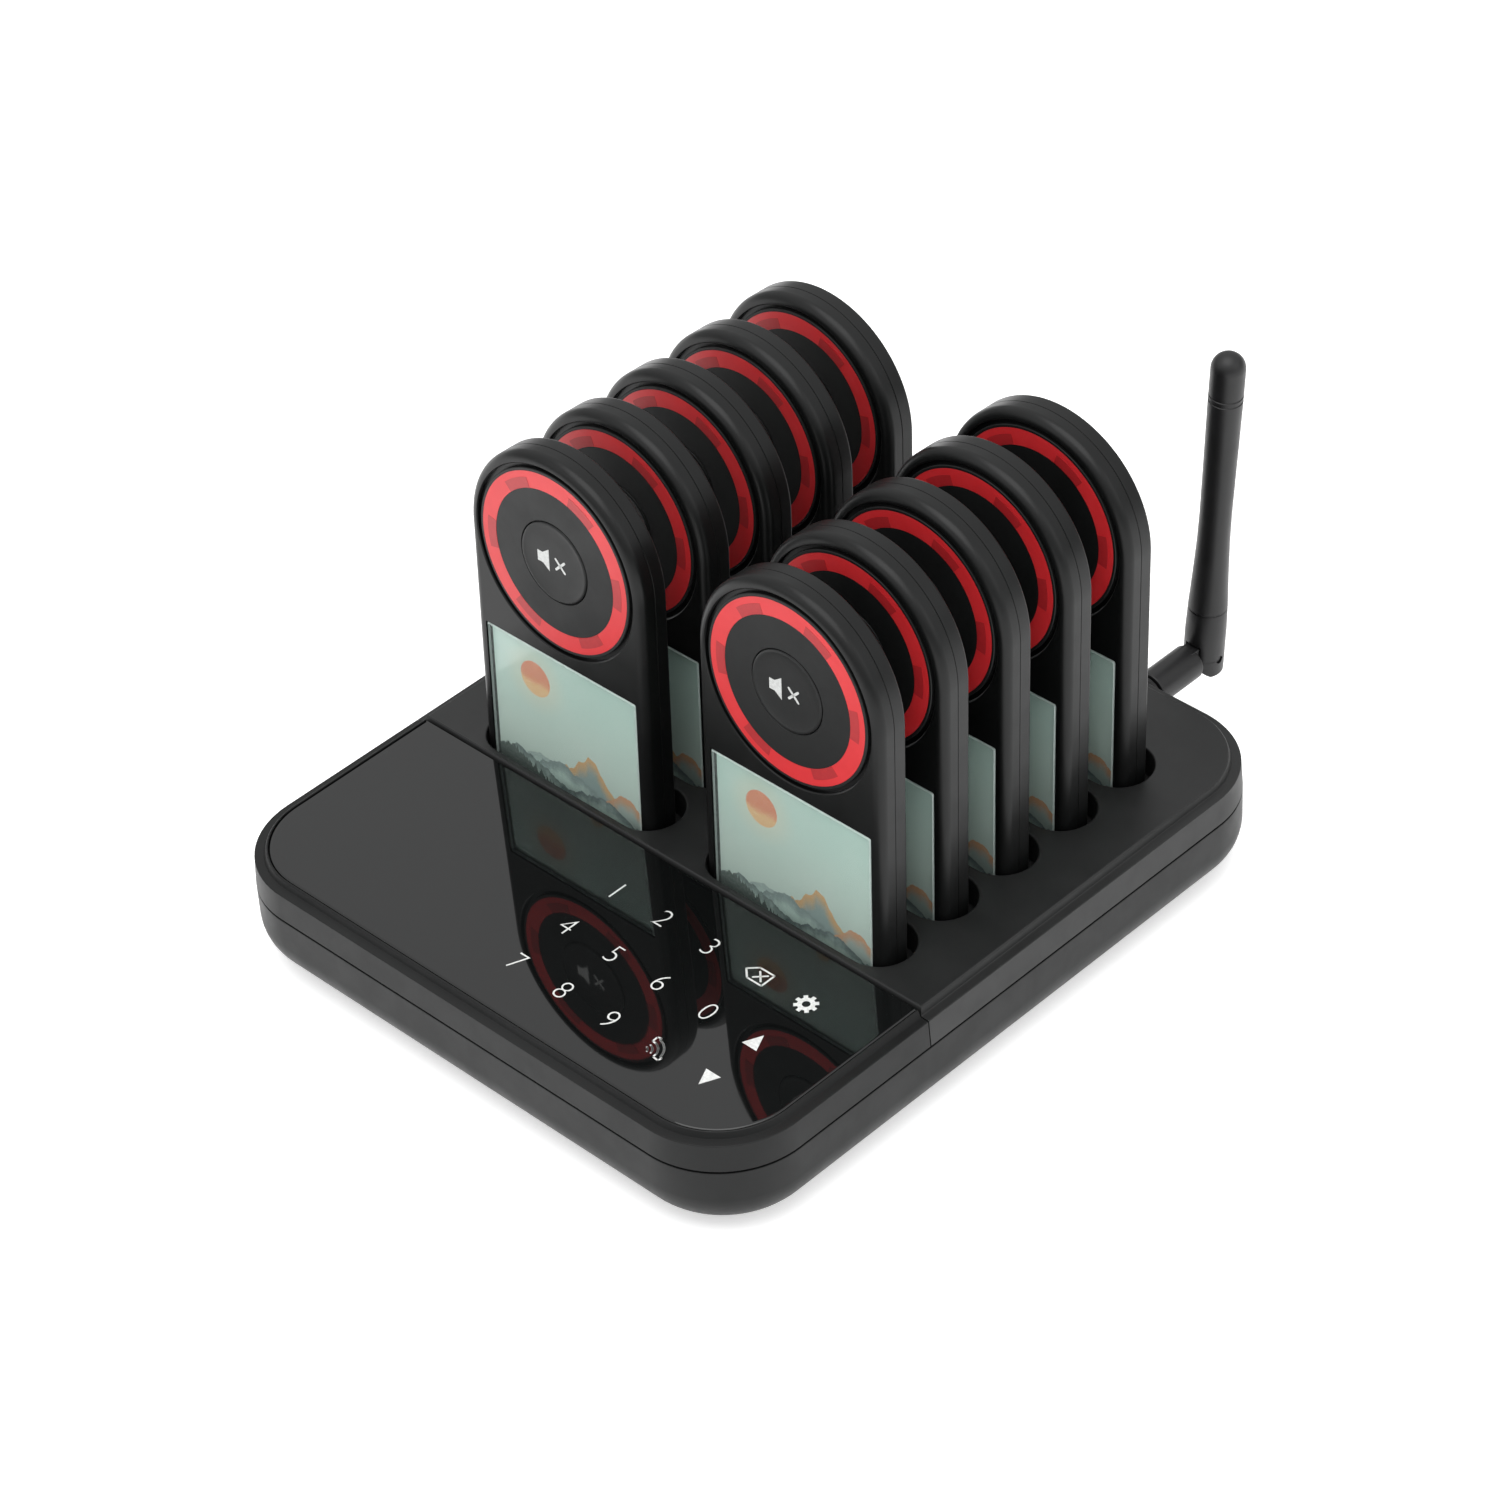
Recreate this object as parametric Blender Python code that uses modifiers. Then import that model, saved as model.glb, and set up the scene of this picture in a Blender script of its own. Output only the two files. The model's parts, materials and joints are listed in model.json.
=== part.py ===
"""Restaurant paging set: a charging base with a touch keypad, ten guest pagers that stand in its
wells, and a folding antenna on its back. Metres, +Z up; the keypad faces -Y."""

import math

import bmesh
import bpy
from mathutils import Matrix, Vector

MM = 0.001

# Charging base, measured from its own middle and from the table.
BASE_WIDTH = 161.3 * MM
BASE_LENGTH = 183.6 * MM
BASE_CORNER = 22.6 * MM
BOTTOM_Z = 1.5 * MM
PARTING_Z = 19.5 * MM
FRAME_TOP_Z = 28.4 * MM
DECK_TOP_Z = 28.8 * MM
SEAM_Y = -28.2 * MM
WALL = 2.2 * MM
BOTTOM_ROUND = 10.0 * MM
TOP_ROUND = 2.0 * MM
SIDE_DRAFT = 0.45 * MM
GAP = 0.3 * MM
CORNER_STEPS = 6

# Keypad glass and the ledge below it.
GLASS_RIM = 3.7 * MM
GLASS_TOP_Z = 28.3 * MM
GLASS_THICKNESS = 1.7 * MM
LEDGE_THICKNESS = 1.2 * MM

# Pagers, modelled lying on their backs: X across, Y up the pager, Z towards its face.
PAGER_WIDTH = 54.0 * MM
PAGER_LENGTH = 106.6 * MM
PAGER_DEPTH = 8.2 * MM
PAGER_FOOT_CORNER = 6.0 * MM
PAGER_FACE_ROUND = 2.3 * MM
PAGER_BACK_ROUND = 0.7 * MM
PAGER_WALL = 1.6 * MM
REAR_SHELL_DEPTH = 3.5 * MM
REAR_FLOOR = 1.2 * MM
SHELL_CEILING = 5.2 * MM
ARCH_STEPS = 18

RING_Y = PAGER_LENGTH - PAGER_WIDTH / 2
RING_OUTER = 22.6 * MM
RING_INNER = 18.4 * MM
RING_TOP = 8.0 * MM
RING_THICKNESS = 0.6 * MM
DIAL_RADIUS = 24.4 * MM
DIAL_FLOOR = 7.0 * MM
BUTTON_RADIUS = 10.2 * MM
BUTTON_TOP = 8.1 * MM
BUTTON_FLANGE = 11.6 * MM
RUNNING_GAP = 0.3 * MM
RING_STEPS = 22

WINDOW_WIDTH = 47.4 * MM
WINDOW_LOW_Y = 8.0 * MM
WINDOW_HIGH_Y = 52.2 * MM
WINDOW_RECESS = 1.2 * MM
WINDOW_THICKNESS = 0.8 * MM

# Where the pagers stand: two columns of five, leaning back a little.
PAGER_ROWS = 5
ROW_PITCH = 20.0 * MM
COLUMN_X = 35.4 * MM
FIRST_BACK_Y = -15.6 * MM
STANDING_Z = 9.85 * MM
LEAN = math.radians(2.0)

# Wells in the dock cover.
WELL_LENGTH = 58.0 * MM
WELL_WIDTH = 16.4 * MM
WELL_FROM_BACK = -1.7 * MM
WELL_STEP_Z = 21.5 * MM
WELL_FLOOR_Z = 9.5 * MM
WELL_BLOCK_LOW_Z = 7.9 * MM
WELL_BLOCK_MARGIN = 2.0 * MM
POCKET_GAP = 0.45 * MM
CONTACT_LENGTH = 13.0 * MM
CONTACT_WIDTH = 2.6 * MM

# Antenna, on the swivel axis through the back wall; it stands a little off upright.
ANTENNA_LEAN = math.radians(4.4)
ANTENNA_X = 32.8 * MM
ANTENNA_Z = 14.7 * MM
ANTENNA_PIN_Y = 121.1 * MM
WHIP_BASE_RADIUS = 4.9 * MM
WHIP_LENGTH = 88.7 * MM
TONGUE = 3.8 * MM
TONGUE_REACH = 4.2 * MM
FORK_GAP = 4.4 * MM
COLLAR_RADIUS = 4.5 * MM
COLLAR_LENGTH = 8.5 * MM
ELBOW_RADIUS = 4.4 * MM
PIN_RADIUS = 1.0 * MM
SOCKET_RADIUS = 3.15 * MM

FOOT_RADIUS = 6.0 * MM
FOOT_HEIGHT = 2.0 * MM
FOOT_X = 58.0 * MM
FOOT_Y = 68.0 * MM
SCREW_POSTS = ((-58.0 * MM, -77.5 * MM), (58.0 * MM, -77.5 * MM), (0, -30.0 * MM), (0, 78.0 * MM))

DC_SOCKET_X = -34.0 * MM
DC_SOCKET_Z = 13.4 * MM

# The set's own middle, antenna included, stands over the origin.
BASE_Y = -(ANTENNA_PIN_Y + WHIP_BASE_RADIUS - BASE_LENGTH / 2) / 2

FINISHES = {
    "matte_black": ((0.020, 0.020, 0.021, 1), 0.55, 0.0),
    "satin_black": ((0.026, 0.026, 0.027, 1), 0.42, 0.0),
    "glass_black": ((0.008, 0.008, 0.009, 1), 0.04, 0.0),
    "ring_red": ((0.62, 0.045, 0.05, 1), 0.35, 0.0),
    "window_clear": ((0.55, 0.68, 0.63, 1), 0.15, 0.0),
    "rubber": ((0.012, 0.012, 0.012, 1), 0.8, 0.0),
    "steel": ((0.55, 0.55, 0.56, 1), 0.3, 1.0),
    "board_green": ((0.02, 0.16, 0.07, 1), 0.5, 0.0),
    "cell_silver": ((0.5, 0.52, 0.54, 1), 0.35, 0.6),
}


def clear_scene():
    for obj in list(bpy.data.objects):
        bpy.data.objects.remove(obj)


def finish(name):
    """The material with that name, made the first time it is asked for."""
    if name in bpy.data.materials:
        return bpy.data.materials[name]
    colour, roughness, metallic = FINISHES[name]
    material = bpy.data.materials.new(name)
    material.use_nodes = True
    shader = material.node_tree.nodes["Principled BSDF"]
    shader.inputs["Base Color"].default_value = colour
    shader.inputs["Roughness"].default_value = roughness
    shader.inputs["Metallic"].default_value = metallic
    return material


# ---------------------------------------------------------------- outlines


def arc(centre_x, centre_y, radius, start, end, steps):
    """Points along an arc, both ends included; the angles are in degrees."""
    points = []
    for i in range(steps + 1):
        angle = math.radians(start + (end - start) * i / steps)
        points.append((centre_x + radius * math.cos(angle), centre_y + radius * math.sin(angle)))
    return points


def rounded_box(x0, x1, y0, y1, front_radius, rear_radius, steps=CORNER_STEPS):
    """A rectangle's outline with round corners; a corner of radius 0 is one point."""
    corners = (
        (x1 - front_radius, y0 + front_radius, front_radius, 270),
        (x1 - rear_radius, y1 - rear_radius, rear_radius, 0),
        (x0 + rear_radius, y1 - rear_radius, rear_radius, 90),
        (x0 + front_radius, y0 + front_radius, front_radius, 180),
    )
    points = []
    for x, y, radius, start in corners:
        if radius > 0:
            points += arc(x, y, radius, start, start + 90, steps)
        else:
            points.append((x, y))
    return points


def stadium(length, width, steps=8):
    half = length / 2 - width / 2
    right = arc(half, 0, width / 2, -90, 90, steps)
    left = arc(-half, 0, width / 2, 90, 270, steps)
    return right + left


def pager_outline(inset=0.0, steps=ARCH_STEPS, low=0.0):
    """A pager seen from its face: straight sides, a round top and small corners at the foot."""
    half = PAGER_WIDTH / 2 - inset
    corner = PAGER_FOOT_CORNER - inset
    foot = low + inset
    points = arc(half - corner, foot + corner, corner, 270, 360, 3)
    points += arc(0, RING_Y, half, 0, 180, steps)
    points += arc(-half + corner, foot + corner, corner, 180, 270, 3)
    return points


# ---------------------------------------------------------------- solids


def new_object(name, mesh):
    obj = bpy.data.objects.new(name, mesh)
    bpy.context.scene.collection.objects.link(obj)
    return obj


def baked(obj):
    """Replaces an object's mesh by what its modifiers make of it."""
    bpy.context.view_layer.update()
    graph = bpy.context.evaluated_depsgraph_get()
    mesh = bpy.data.meshes.new_from_object(obj.evaluated_get(graph))
    obj.modifiers.clear()
    obj.data = mesh
    return obj


def prism(name, outline, low, high):
    """A closed solid that stands on an outline, from height low to height high."""
    curve = bpy.data.curves.new(name, "CURVE")
    curve.dimensions = "2D"
    curve.fill_mode = "BOTH"
    curve.extrude = (high - low) / 2
    spline = curve.splines.new("POLY")
    spline.points.add(len(outline) - 1)
    for point, (x, y) in zip(spline.points, outline):
        point.co = (x, y, 0, 1)
    spline.use_cyclic_u = True
    guide = new_object(name + "_guide", curve)
    bpy.context.view_layer.update()
    graph = bpy.context.evaluated_depsgraph_get()
    mesh = bpy.data.meshes.new_from_object(guide.evaluated_get(graph))
    bpy.data.objects.remove(guide)
    bm = bmesh.new()
    bm.from_mesh(mesh)
    bmesh.ops.remove_doubles(bm, verts=bm.verts, dist=1e-6)
    bmesh.ops.dissolve_limit(bm, angle_limit=0.001, verts=bm.verts, edges=bm.edges)
    bmesh.ops.translate(bm, verts=bm.verts, vec=(0, 0, (low + high) / 2))
    bmesh.ops.recalc_face_normals(bm, faces=bm.faces)
    bm.to_mesh(mesh)
    bm.free()
    return new_object(name, mesh)


def box(name, x0, x1, y0, y1, z0, z1):
    bm = bmesh.new()
    bmesh.ops.create_cube(bm, size=1)
    centre = ((x0 + x1) / 2, (y0 + y1) / 2, (z0 + z1) / 2)
    place = Matrix.Translation(centre) @ Matrix.Diagonal((x1 - x0, y1 - y0, z1 - z0, 1))
    bmesh.ops.transform(bm, matrix=place, verts=bm.verts)
    mesh = bpy.data.meshes.new(name)
    bm.to_mesh(mesh)
    bm.free()
    return new_object(name, mesh)


def cylinder(name, radius, start, end, steps=16):
    """A cylinder from one point to another."""
    start, end = Vector(start), Vector(end)
    bm = bmesh.new()
    bmesh.ops.create_cone(
        bm, cap_ends=True, segments=steps, radius1=radius, radius2=radius,
        depth=(end - start).length,
    )
    turn = (end - start).to_track_quat("Z", "Y").to_matrix().to_4x4()
    bmesh.ops.transform(bm, matrix=Matrix.Translation((start + end) / 2) @ turn, verts=bm.verts)
    mesh = bpy.data.meshes.new(name)
    bm.to_mesh(mesh)
    bm.free()
    return new_object(name, mesh)


def turned(name, profile, steps=20):
    """A solid turned about Z. The profile's (radius, height) points run from the top to the bottom."""
    mesh = bpy.data.meshes.new(name)
    points = [(radius, 0, height) for radius, height in profile]
    mesh.from_pydata(points, [(i, i + 1) for i in range(len(points) - 1)], [])
    obj = new_object(name, mesh)
    screw = obj.modifiers.new("Turn", "SCREW")
    screw.steps = screw.render_steps = steps
    screw.use_merge_vertices = True
    screw.merge_threshold = 1e-5
    return baked(obj)


def combined(target, tool, operation):
    """The target after a Boolean with the tool, which is used up."""
    modifier = target.modifiers.new(operation.title(), "BOOLEAN")
    modifier.operation = operation
    modifier.object = tool
    baked(target)
    bpy.data.objects.remove(tool)
    return target


def cut(target, tool):
    return combined(target, tool, "DIFFERENCE")


def joined(target, tool):
    return combined(target, tool, "UNION")


def round_rim(obj, height, width, segments):
    """Rounds the sharp edges that lie at one height."""
    bm = bmesh.new()
    bm.from_mesh(obj.data)
    rim = [
        edge
        for edge in bm.edges
        if all(abs(v.co.z - height) < 1e-6 for v in edge.verts) and edge.calc_face_angle(0) > 0.5
    ]
    bmesh.ops.bevel(
        bm, geom=rim, offset=width, offset_type="OFFSET", segments=segments, profile=0.5,
        affect="EDGES", clamp_overlap=True,
    )
    bm.to_mesh(obj.data)
    bm.free()
    return obj


def draw_in(obj, height, fixed_y):
    """Leans the side walls inwards: the rim at one height shrinks, and the line at fixed_y stays."""
    reach = max(abs(v.co.y - fixed_y) for v in obj.data.vertices)
    for v in obj.data.vertices:
        if abs(v.co.z - height) < 1e-6:
            v.co.x *= 1 - SIDE_DRAFT / (BASE_WIDTH / 2)
            v.co.y = fixed_y + (v.co.y - fixed_y) * (1 - SIDE_DRAFT / reach)
    return obj


def place(obj, name, parent, material, collection):
    """Names a finished solid, gives it its finish and hangs it on its parent."""
    obj.name = name
    obj.data.materials.clear()
    obj.data.materials.append(finish(material))
    obj.data.shade_smooth()
    obj.data.set_sharp_from_angle(angle=math.radians(30))
    bpy.context.scene.collection.objects.unlink(obj)
    collection.objects.link(obj)
    obj.parent = parent
    return obj


def empty(name, location, rotation, parent, collection):
    obj = bpy.data.objects.new(name, None)
    obj.location = location
    obj.rotation_euler = rotation
    obj.parent = parent
    collection.objects.link(obj)
    return obj


def copied(solid):
    """Another object with the same mesh."""
    twin = solid.copy()
    bpy.context.scene.collection.objects.link(twin)
    return twin


# ---------------------------------------------------------------- pager pieces


def pager_front_shell():
    low = REAR_SHELL_DEPTH + GAP
    shell = prism("front_shell", pager_outline(), low, PAGER_DEPTH)
    round_rim(shell, PAGER_DEPTH, PAGER_FACE_ROUND, 2)
    cut(shell, prism("hollow", pager_outline(PAGER_WALL, 10), low - 1 * MM, SHELL_CEILING))
    dial = ((0, RING_Y, DIAL_FLOOR), (0, RING_Y, PAGER_DEPTH + 1 * MM))
    cut(shell, cylinder("dial", DIAL_RADIUS, *dial, RING_STEPS))
    hole = ((0, RING_Y, 0), (0, RING_Y, PAGER_DEPTH))
    cut(shell, cylinder("hole", BUTTON_RADIUS + RUNNING_GAP, *hole, RING_STEPS))
    half = WINDOW_WIDTH / 2 + GAP
    recess = (-half, half, WINDOW_LOW_Y - GAP, WINDOW_HIGH_Y + GAP)
    cut(shell, box("recess", *recess, PAGER_DEPTH - WINDOW_RECESS, PAGER_DEPTH + 1 * MM))
    return shell


def pager_rear_shell():
    shell = prism("rear_shell", pager_outline(), 0, REAR_SHELL_DEPTH)
    round_rim(shell, 0, PAGER_BACK_ROUND, 1)
    hollow = prism("hollow", pager_outline(PAGER_WALL, 10), REAR_FLOOR, REAR_SHELL_DEPTH + 1 * MM)
    return cut(shell, hollow)


def pager_light_ring():
    low = RING_TOP - RING_THICKNESS
    disc = cylinder("ring", RING_OUTER, (0, RING_Y, low), (0, RING_Y, RING_TOP), RING_STEPS)
    middle = ((0, RING_Y, 0), (0, RING_Y, PAGER_DEPTH))
    return cut(disc, cylinder("middle", RING_INNER, *middle, RING_STEPS))


def pager_mute_button():
    """The button's own origin is on its axis, at the pager's back plane."""
    flange_top = SHELL_CEILING - GAP
    profile = (
        (0, BUTTON_TOP),
        (BUTTON_RADIUS, BUTTON_TOP),
        (BUTTON_RADIUS, flange_top),
        (BUTTON_FLANGE, flange_top),
        (BUTTON_FLANGE, flange_top - 0.7 * MM),
        (0, flange_top - 0.7 * MM),
    )
    return turned("button", profile, RING_STEPS)


def pager_card_window():
    half = WINDOW_WIDTH / 2
    top = PAGER_DEPTH - 0.1 * MM
    sides = (-half, half, WINDOW_LOW_Y, WINDOW_HIGH_Y)
    return box("window", *sides, top - WINDOW_THICKNESS, top)


def pager_circuit_board():
    """A board behind the ring, with the switch below the button and a chip beside it."""
    back = REAR_FLOOR + GAP
    front = back + 1.0 * MM
    board = prism("board", arc(0, RING_Y, 23.5 * MM, -40, 220, 18), back, front)
    joined(board, box("chip", -17 * MM, -9 * MM, 66 * MM, 74 * MM, front - 0.1 * MM, front + 0.9 * MM))
    switch = ((0, RING_Y, front - 0.1 * MM), (0, RING_Y, front + 0.8 * MM))
    return joined(board, cylinder("switch", 2.2 * MM, *switch, 12))


def pager_battery():
    return prism("cell", rounded_box(-17 * MM, 17 * MM, 13 * MM, 45 * MM, 1.5 * MM, 1.5 * MM, 2),
                 REAR_FLOOR + GAP, SHELL_CEILING - GAP)


def pager_vibration_motor():
    low, high = REAR_FLOOR + GAP, SHELL_CEILING - 0.9 * MM
    return cylinder("motor", 4.0 * MM, (-19 * MM, 52.5 * MM, low), (-19 * MM, 52.5 * MM, high), 16)


# ---------------------------------------------------------------- base pieces


def base_outline(inset=0.0):
    x, y = BASE_WIDTH / 2 - inset, BASE_LENGTH / 2 - inset
    return rounded_box(-x, x, -y, y, BASE_CORNER - inset, BASE_CORNER - inset)


def lower_shell():
    top = PARTING_Z - GAP / 2
    shell = prism("lower_shell", base_outline(), BOTTOM_Z, top)
    round_rim(shell, BOTTOM_Z, BOTTOM_ROUND, 3)
    hollow = prism("hollow", base_outline(WALL), BOTTOM_Z + WALL, top + 1 * MM)
    round_rim(hollow, BOTTOM_Z + WALL, BOTTOM_ROUND - WALL, 2)
    cut(shell, hollow)
    for x in (-FOOT_X, FOOT_X):
        for y in (-FOOT_Y, FOOT_Y):
            recess = ((x, y, 0), (x, y, FOOT_HEIGHT + GAP))
            cut(shell, cylinder("recess", FOOT_RADIUS + GAP, *recess, 16))
    for x, y in SCREW_POSTS:
        post = ((x, y, BOTTOM_Z + 1.5 * MM), (x, y, PARTING_Z - 1 * MM))
        joined(shell, cylinder("post", 3.4 * MM, *post, 10))
    back = BASE_LENGTH / 2
    hole = ((ANTENNA_X, back - 6 * MM, ANTENNA_Z), (ANTENNA_X, back + 1 * MM, ANTENNA_Z))
    cut(shell, cylinder("antenna_hole", SOCKET_RADIUS + GAP, *hole, 16))
    inlet = (DC_SOCKET_X - 4.8 * MM, DC_SOCKET_X + 4.8 * MM, back - 6 * MM, back + 1 * MM)
    return cut(shell, box("inlet", *inlet, DC_SOCKET_Z - 5.1 * MM, DC_SOCKET_Z + 5.1 * MM))


def front_outline(inset, rear_y, rear_inset=0.0):
    x, front = BASE_WIDTH / 2 - inset, -BASE_LENGTH / 2 + inset
    return rounded_box(-x, x, front, rear_y - rear_inset, BASE_CORNER - inset, 0)


def keypad_frame():
    """A tray: a rim on three sides, a web for the glass to lie on, and walls down to the lower shell."""
    low, rear = PARTING_Z + GAP / 2, SEAM_Y - GAP / 2
    web_top = GLASS_TOP_Z - GLASS_THICKNESS - GAP
    frame = draw_in(prism("frame", front_outline(0, rear), low, FRAME_TOP_Z), FRAME_TOP_Z, rear)
    round_rim(frame, FRAME_TOP_Z, TOP_ROUND, 2)
    cut(frame, prism("bed", front_outline(GLASS_RIM, rear, -2 * MM), web_top, FRAME_TOP_Z + 1 * MM))
    hollow = front_outline(WALL + SIDE_DRAFT, rear, WALL)
    return cut(frame, prism("hollow", hollow, low - 1 * MM, web_top - LEDGE_THICKNESS))


def keypad_glass():
    rear = SEAM_Y - GAP / 2
    outline = front_outline(GLASS_RIM + GAP, rear, 0)
    glass = prism("glass", outline, GLASS_TOP_Z - GLASS_THICKNESS, GLASS_TOP_Z)
    return round_rim(glass, GLASS_TOP_Z, 0.5 * MM, 1)


def rear_outline(inset, front_y):
    x, rear = BASE_WIDTH / 2 - inset, BASE_LENGTH / 2 - inset
    return rounded_box(-x, x, front_y, rear, 0, BASE_CORNER - inset)


def well_centres():
    """(x, y) of each well, left column first, each from the keypad to the back."""
    first = FIRST_BACK_Y + WELL_FROM_BACK
    return [(x, first + ROW_PITCH * row) for x in (-COLUMN_X, COLUMN_X) for row in range(PAGER_ROWS)]


def dock_cover(stances):
    """The top shell of the dock, with a block of five wells hanging below each column."""
    low, front = PARTING_Z + GAP / 2, SEAM_Y + GAP / 2
    cover = draw_in(prism("cover", rear_outline(0, front), low, DECK_TOP_Z), DECK_TOP_Z, front)
    round_rim(cover, DECK_TOP_Z, TOP_ROUND / 2, 2)
    hollow = rear_outline(WALL + SIDE_DRAFT, front + WALL)
    cut(cover, prism("hollow", hollow, low - 1 * MM, DECK_TOP_Z - WALL))
    centres = well_centres()
    half_x = WELL_LENGTH / 2 + WELL_BLOCK_MARGIN
    half_y = WELL_WIDTH / 2 + WELL_BLOCK_MARGIN
    for x in (-COLUMN_X, COLUMN_X):
        ys = [y for _, y in centres]
        block = (x - half_x, x + half_x, min(ys) - half_y, max(ys) + half_y)
        joined(cover, box("block", *block, WELL_BLOCK_LOW_Z, DECK_TOP_Z - WALL / 2))
    for (x, y), stance in zip(centres, stances):
        mouth = prism("mouth", stadium(WELL_LENGTH, WELL_WIDTH), WELL_STEP_Z, DECK_TOP_Z + 1 * MM)
        mouth.location = (x, y, 0)
        cut(cover, mouth)
        pocket = prism("pocket", pocket_outline(), -POCKET_GAP, PAGER_DEPTH + POCKET_GAP)
        pocket.matrix_world = stance
        cut(cover, pocket)
        slot_x, slot_y = CONTACT_LENGTH / 2 + 1 * MM, CONTACT_WIDTH / 2 + 0.7 * MM
        slot = (x - slot_x, x + slot_x, y - slot_y, y + slot_y)
        cut(cover, box("slot", *slot, WELL_BLOCK_LOW_Z - 1 * MM, WELL_FLOOR_Z + 1 * MM))
    return cover


def pocket_outline():
    """The foot of a pager with clearance round it, up to just above the step in the well."""
    half, corner = PAGER_WIDTH / 2 + POCKET_GAP, PAGER_FOOT_CORNER
    return rounded_box(-half, half, WELL_FLOOR_Z - STANDING_Z, 14.0 * MM, corner, 0, 3)


def charging_board():
    """A board below the wells, with a raised contact block for each pager."""
    top = 6.6 * MM
    board = box("board", -66 * MM, 66 * MM, -22 * MM, 67 * MM, top - 1.6 * MM, top)
    for x, y in well_centres():
        half_x, half_y = CONTACT_LENGTH / 2, CONTACT_WIDTH / 2
        block = (x - half_x, x + half_x, y - half_y, y + half_y)
        joined(board, box("contact", *block, top - 0.5 * MM, WELL_FLOOR_Z - 0.1 * MM))
    return board


def control_board():
    """The touch controller and transmitter below the keypad."""
    low = 20.6 * MM
    board = box("board", -62 * MM, 66 * MM, -82 * MM, -36 * MM, low, low + 1.6 * MM)
    chips = ((-48, -60, 14), (-20, -66, 10), (20, -56, 8))
    for x, y, size in chips:
        side = (x * MM, (x + size) * MM, y * MM, (y + size) * MM)
        joined(board, box("chip", *side, low - 1.2 * MM, low + 0.2 * MM))
    return board


def dc_power_socket():
    """A barrel jack: a block with a round mouth and a centre pin."""
    back = BASE_LENGTH / 2
    x, z, rear = DC_SOCKET_X, DC_SOCKET_Z, back - 1.2 * MM
    jack = box("jack", x - 4.5 * MM, x + 4.5 * MM, back - 14 * MM, rear, z - 4.8 * MM, z + 4.8 * MM)
    cut(jack, cylinder("mouth", 3.1 * MM, (x, back - 10 * MM, z), (x, back + 1 * MM, z), 16))
    return joined(jack, cylinder("pin", 0.9 * MM, (x, back - 11 * MM, z), (x, back - 2 * MM, z), 10))


def antenna_socket():
    """A threaded jack through the back wall, with its hexagonal flange inside."""
    back = BASE_LENGTH / 2
    x, z = ANTENNA_X, ANTENNA_Z
    barrel = ((x, back - 6 * MM, z), (x, back + 6.0 * MM, z))
    jack = cylinder("barrel", SOCKET_RADIUS, *barrel, 16)
    flange = ((x, back - 6 * MM, z), (x, back - WALL - 1.4 * MM, z))
    return joined(jack, cylinder("flange", 5.0 * MM, *flange, 6))


def antenna_collar():
    """The knurled nut, screwed onto the jack."""
    front = BASE_LENGTH / 2 + 0.6 * MM
    x, z = ANTENNA_X, ANTENNA_Z
    nut = cylinder("nut", COLLAR_RADIUS, (x, front, z), (x, front + COLLAR_LENGTH, z), 20)
    bore = ((x, front - 1 * MM, z), (x, front + COLLAR_LENGTH + 1 * MM, z))
    return cut(nut, cylinder("bore", SOCKET_RADIUS + GAP, *bore, 16))


def antenna_elbow():
    """In its own frame: Y is the swivel axis, and the hinge pin crosses it at the origin."""
    start = -(ANTENNA_PIN_Y - BASE_LENGTH / 2) + 0.6 * MM + COLLAR_LENGTH + GAP
    shoulder = -(WHIP_BASE_RADIUS + GAP)
    body = cylinder("body", ELBOW_RADIUS, (0, start, 0), (0, shoulder, 0), 20)
    stub = ((0, start - 2.0 * MM, 0), (0, start + 1 * MM, 0))
    joined(body, cylinder("stub", 2.6 * MM, *stub, 12))
    half, reach = TONGUE / 2, TONGUE_REACH
    tongue = box("tongue", -half, half, shoulder - 2 * MM, 0, -reach, reach)
    joined(tongue, cylinder("end", reach, (-half, 0, 0), (half, 0, 0), 20))
    joined(body, tongue)
    return cut(body, cylinder("hole", PIN_RADIUS + 0.08 * MM, (-6 * MM, 0, 0), (6 * MM, 0, 0), 16))


def antenna_hinge_pin():
    half = WHIP_BASE_RADIUS - 0.5 * MM
    return cylinder("pin", PIN_RADIUS, (-half, 0, 0), (half, 0, 0), 16)


def antenna_whip():
    """In its own frame: the hinge pin is at the origin, and the whip stands up along Z."""
    tip = WHIP_LENGTH
    profile = (
        (0, tip),
        (2.2 * MM, tip - 0.4 * MM),
        (3.5 * MM, tip - 1.5 * MM),
        (4.1 * MM, tip - 3.6 * MM),
        (4.1 * MM, tip * 0.78),
        (3.8 * MM, tip * 0.45),
        (4.7 * MM, 14.0 * MM),
        (WHIP_BASE_RADIUS, 8.0 * MM),
        (WHIP_BASE_RADIUS, 0),
        (0, 0),
    )
    whip = turned("whip", profile, 20)
    foot = cylinder("foot", WHIP_BASE_RADIUS, (0, 0, -7 * MM), (0, 0, 0.2 * MM), 20)
    ears = ((-7 * MM, 0, 0), (7 * MM, 0, 0))
    combined(foot, cylinder("ears", WHIP_BASE_RADIUS, *ears, 20), "INTERSECT")
    joined(whip, foot)
    half, clear = FORK_GAP / 2, WHIP_BASE_RADIUS + 1 * MM
    cut(whip, box("fork", -half, half, -clear, clear, -8 * MM, TONGUE_REACH + 0.5 * MM))
    return cut(whip, cylinder("hole", PIN_RADIUS + 0.05 * MM, (-7 * MM, 0, 0), (7 * MM, 0, 0), 16))


def foot_pad(x, y):
    return cylinder("foot", FOOT_RADIUS, (x, y, 0), (x, y, FOOT_HEIGHT), 16)


# ---------------------------------------------------------------- assembly


def pager_stances():
    """Where each pager stands in the base's frame, numbered like the wells."""
    turn = Matrix.Rotation(math.radians(90) - LEAN, 4, "X")
    stances = []
    for x, y in well_centres():
        stances.append(Matrix.Translation((x, y - WELL_FROM_BACK, STANDING_Z)) @ turn)
    return stances


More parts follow.
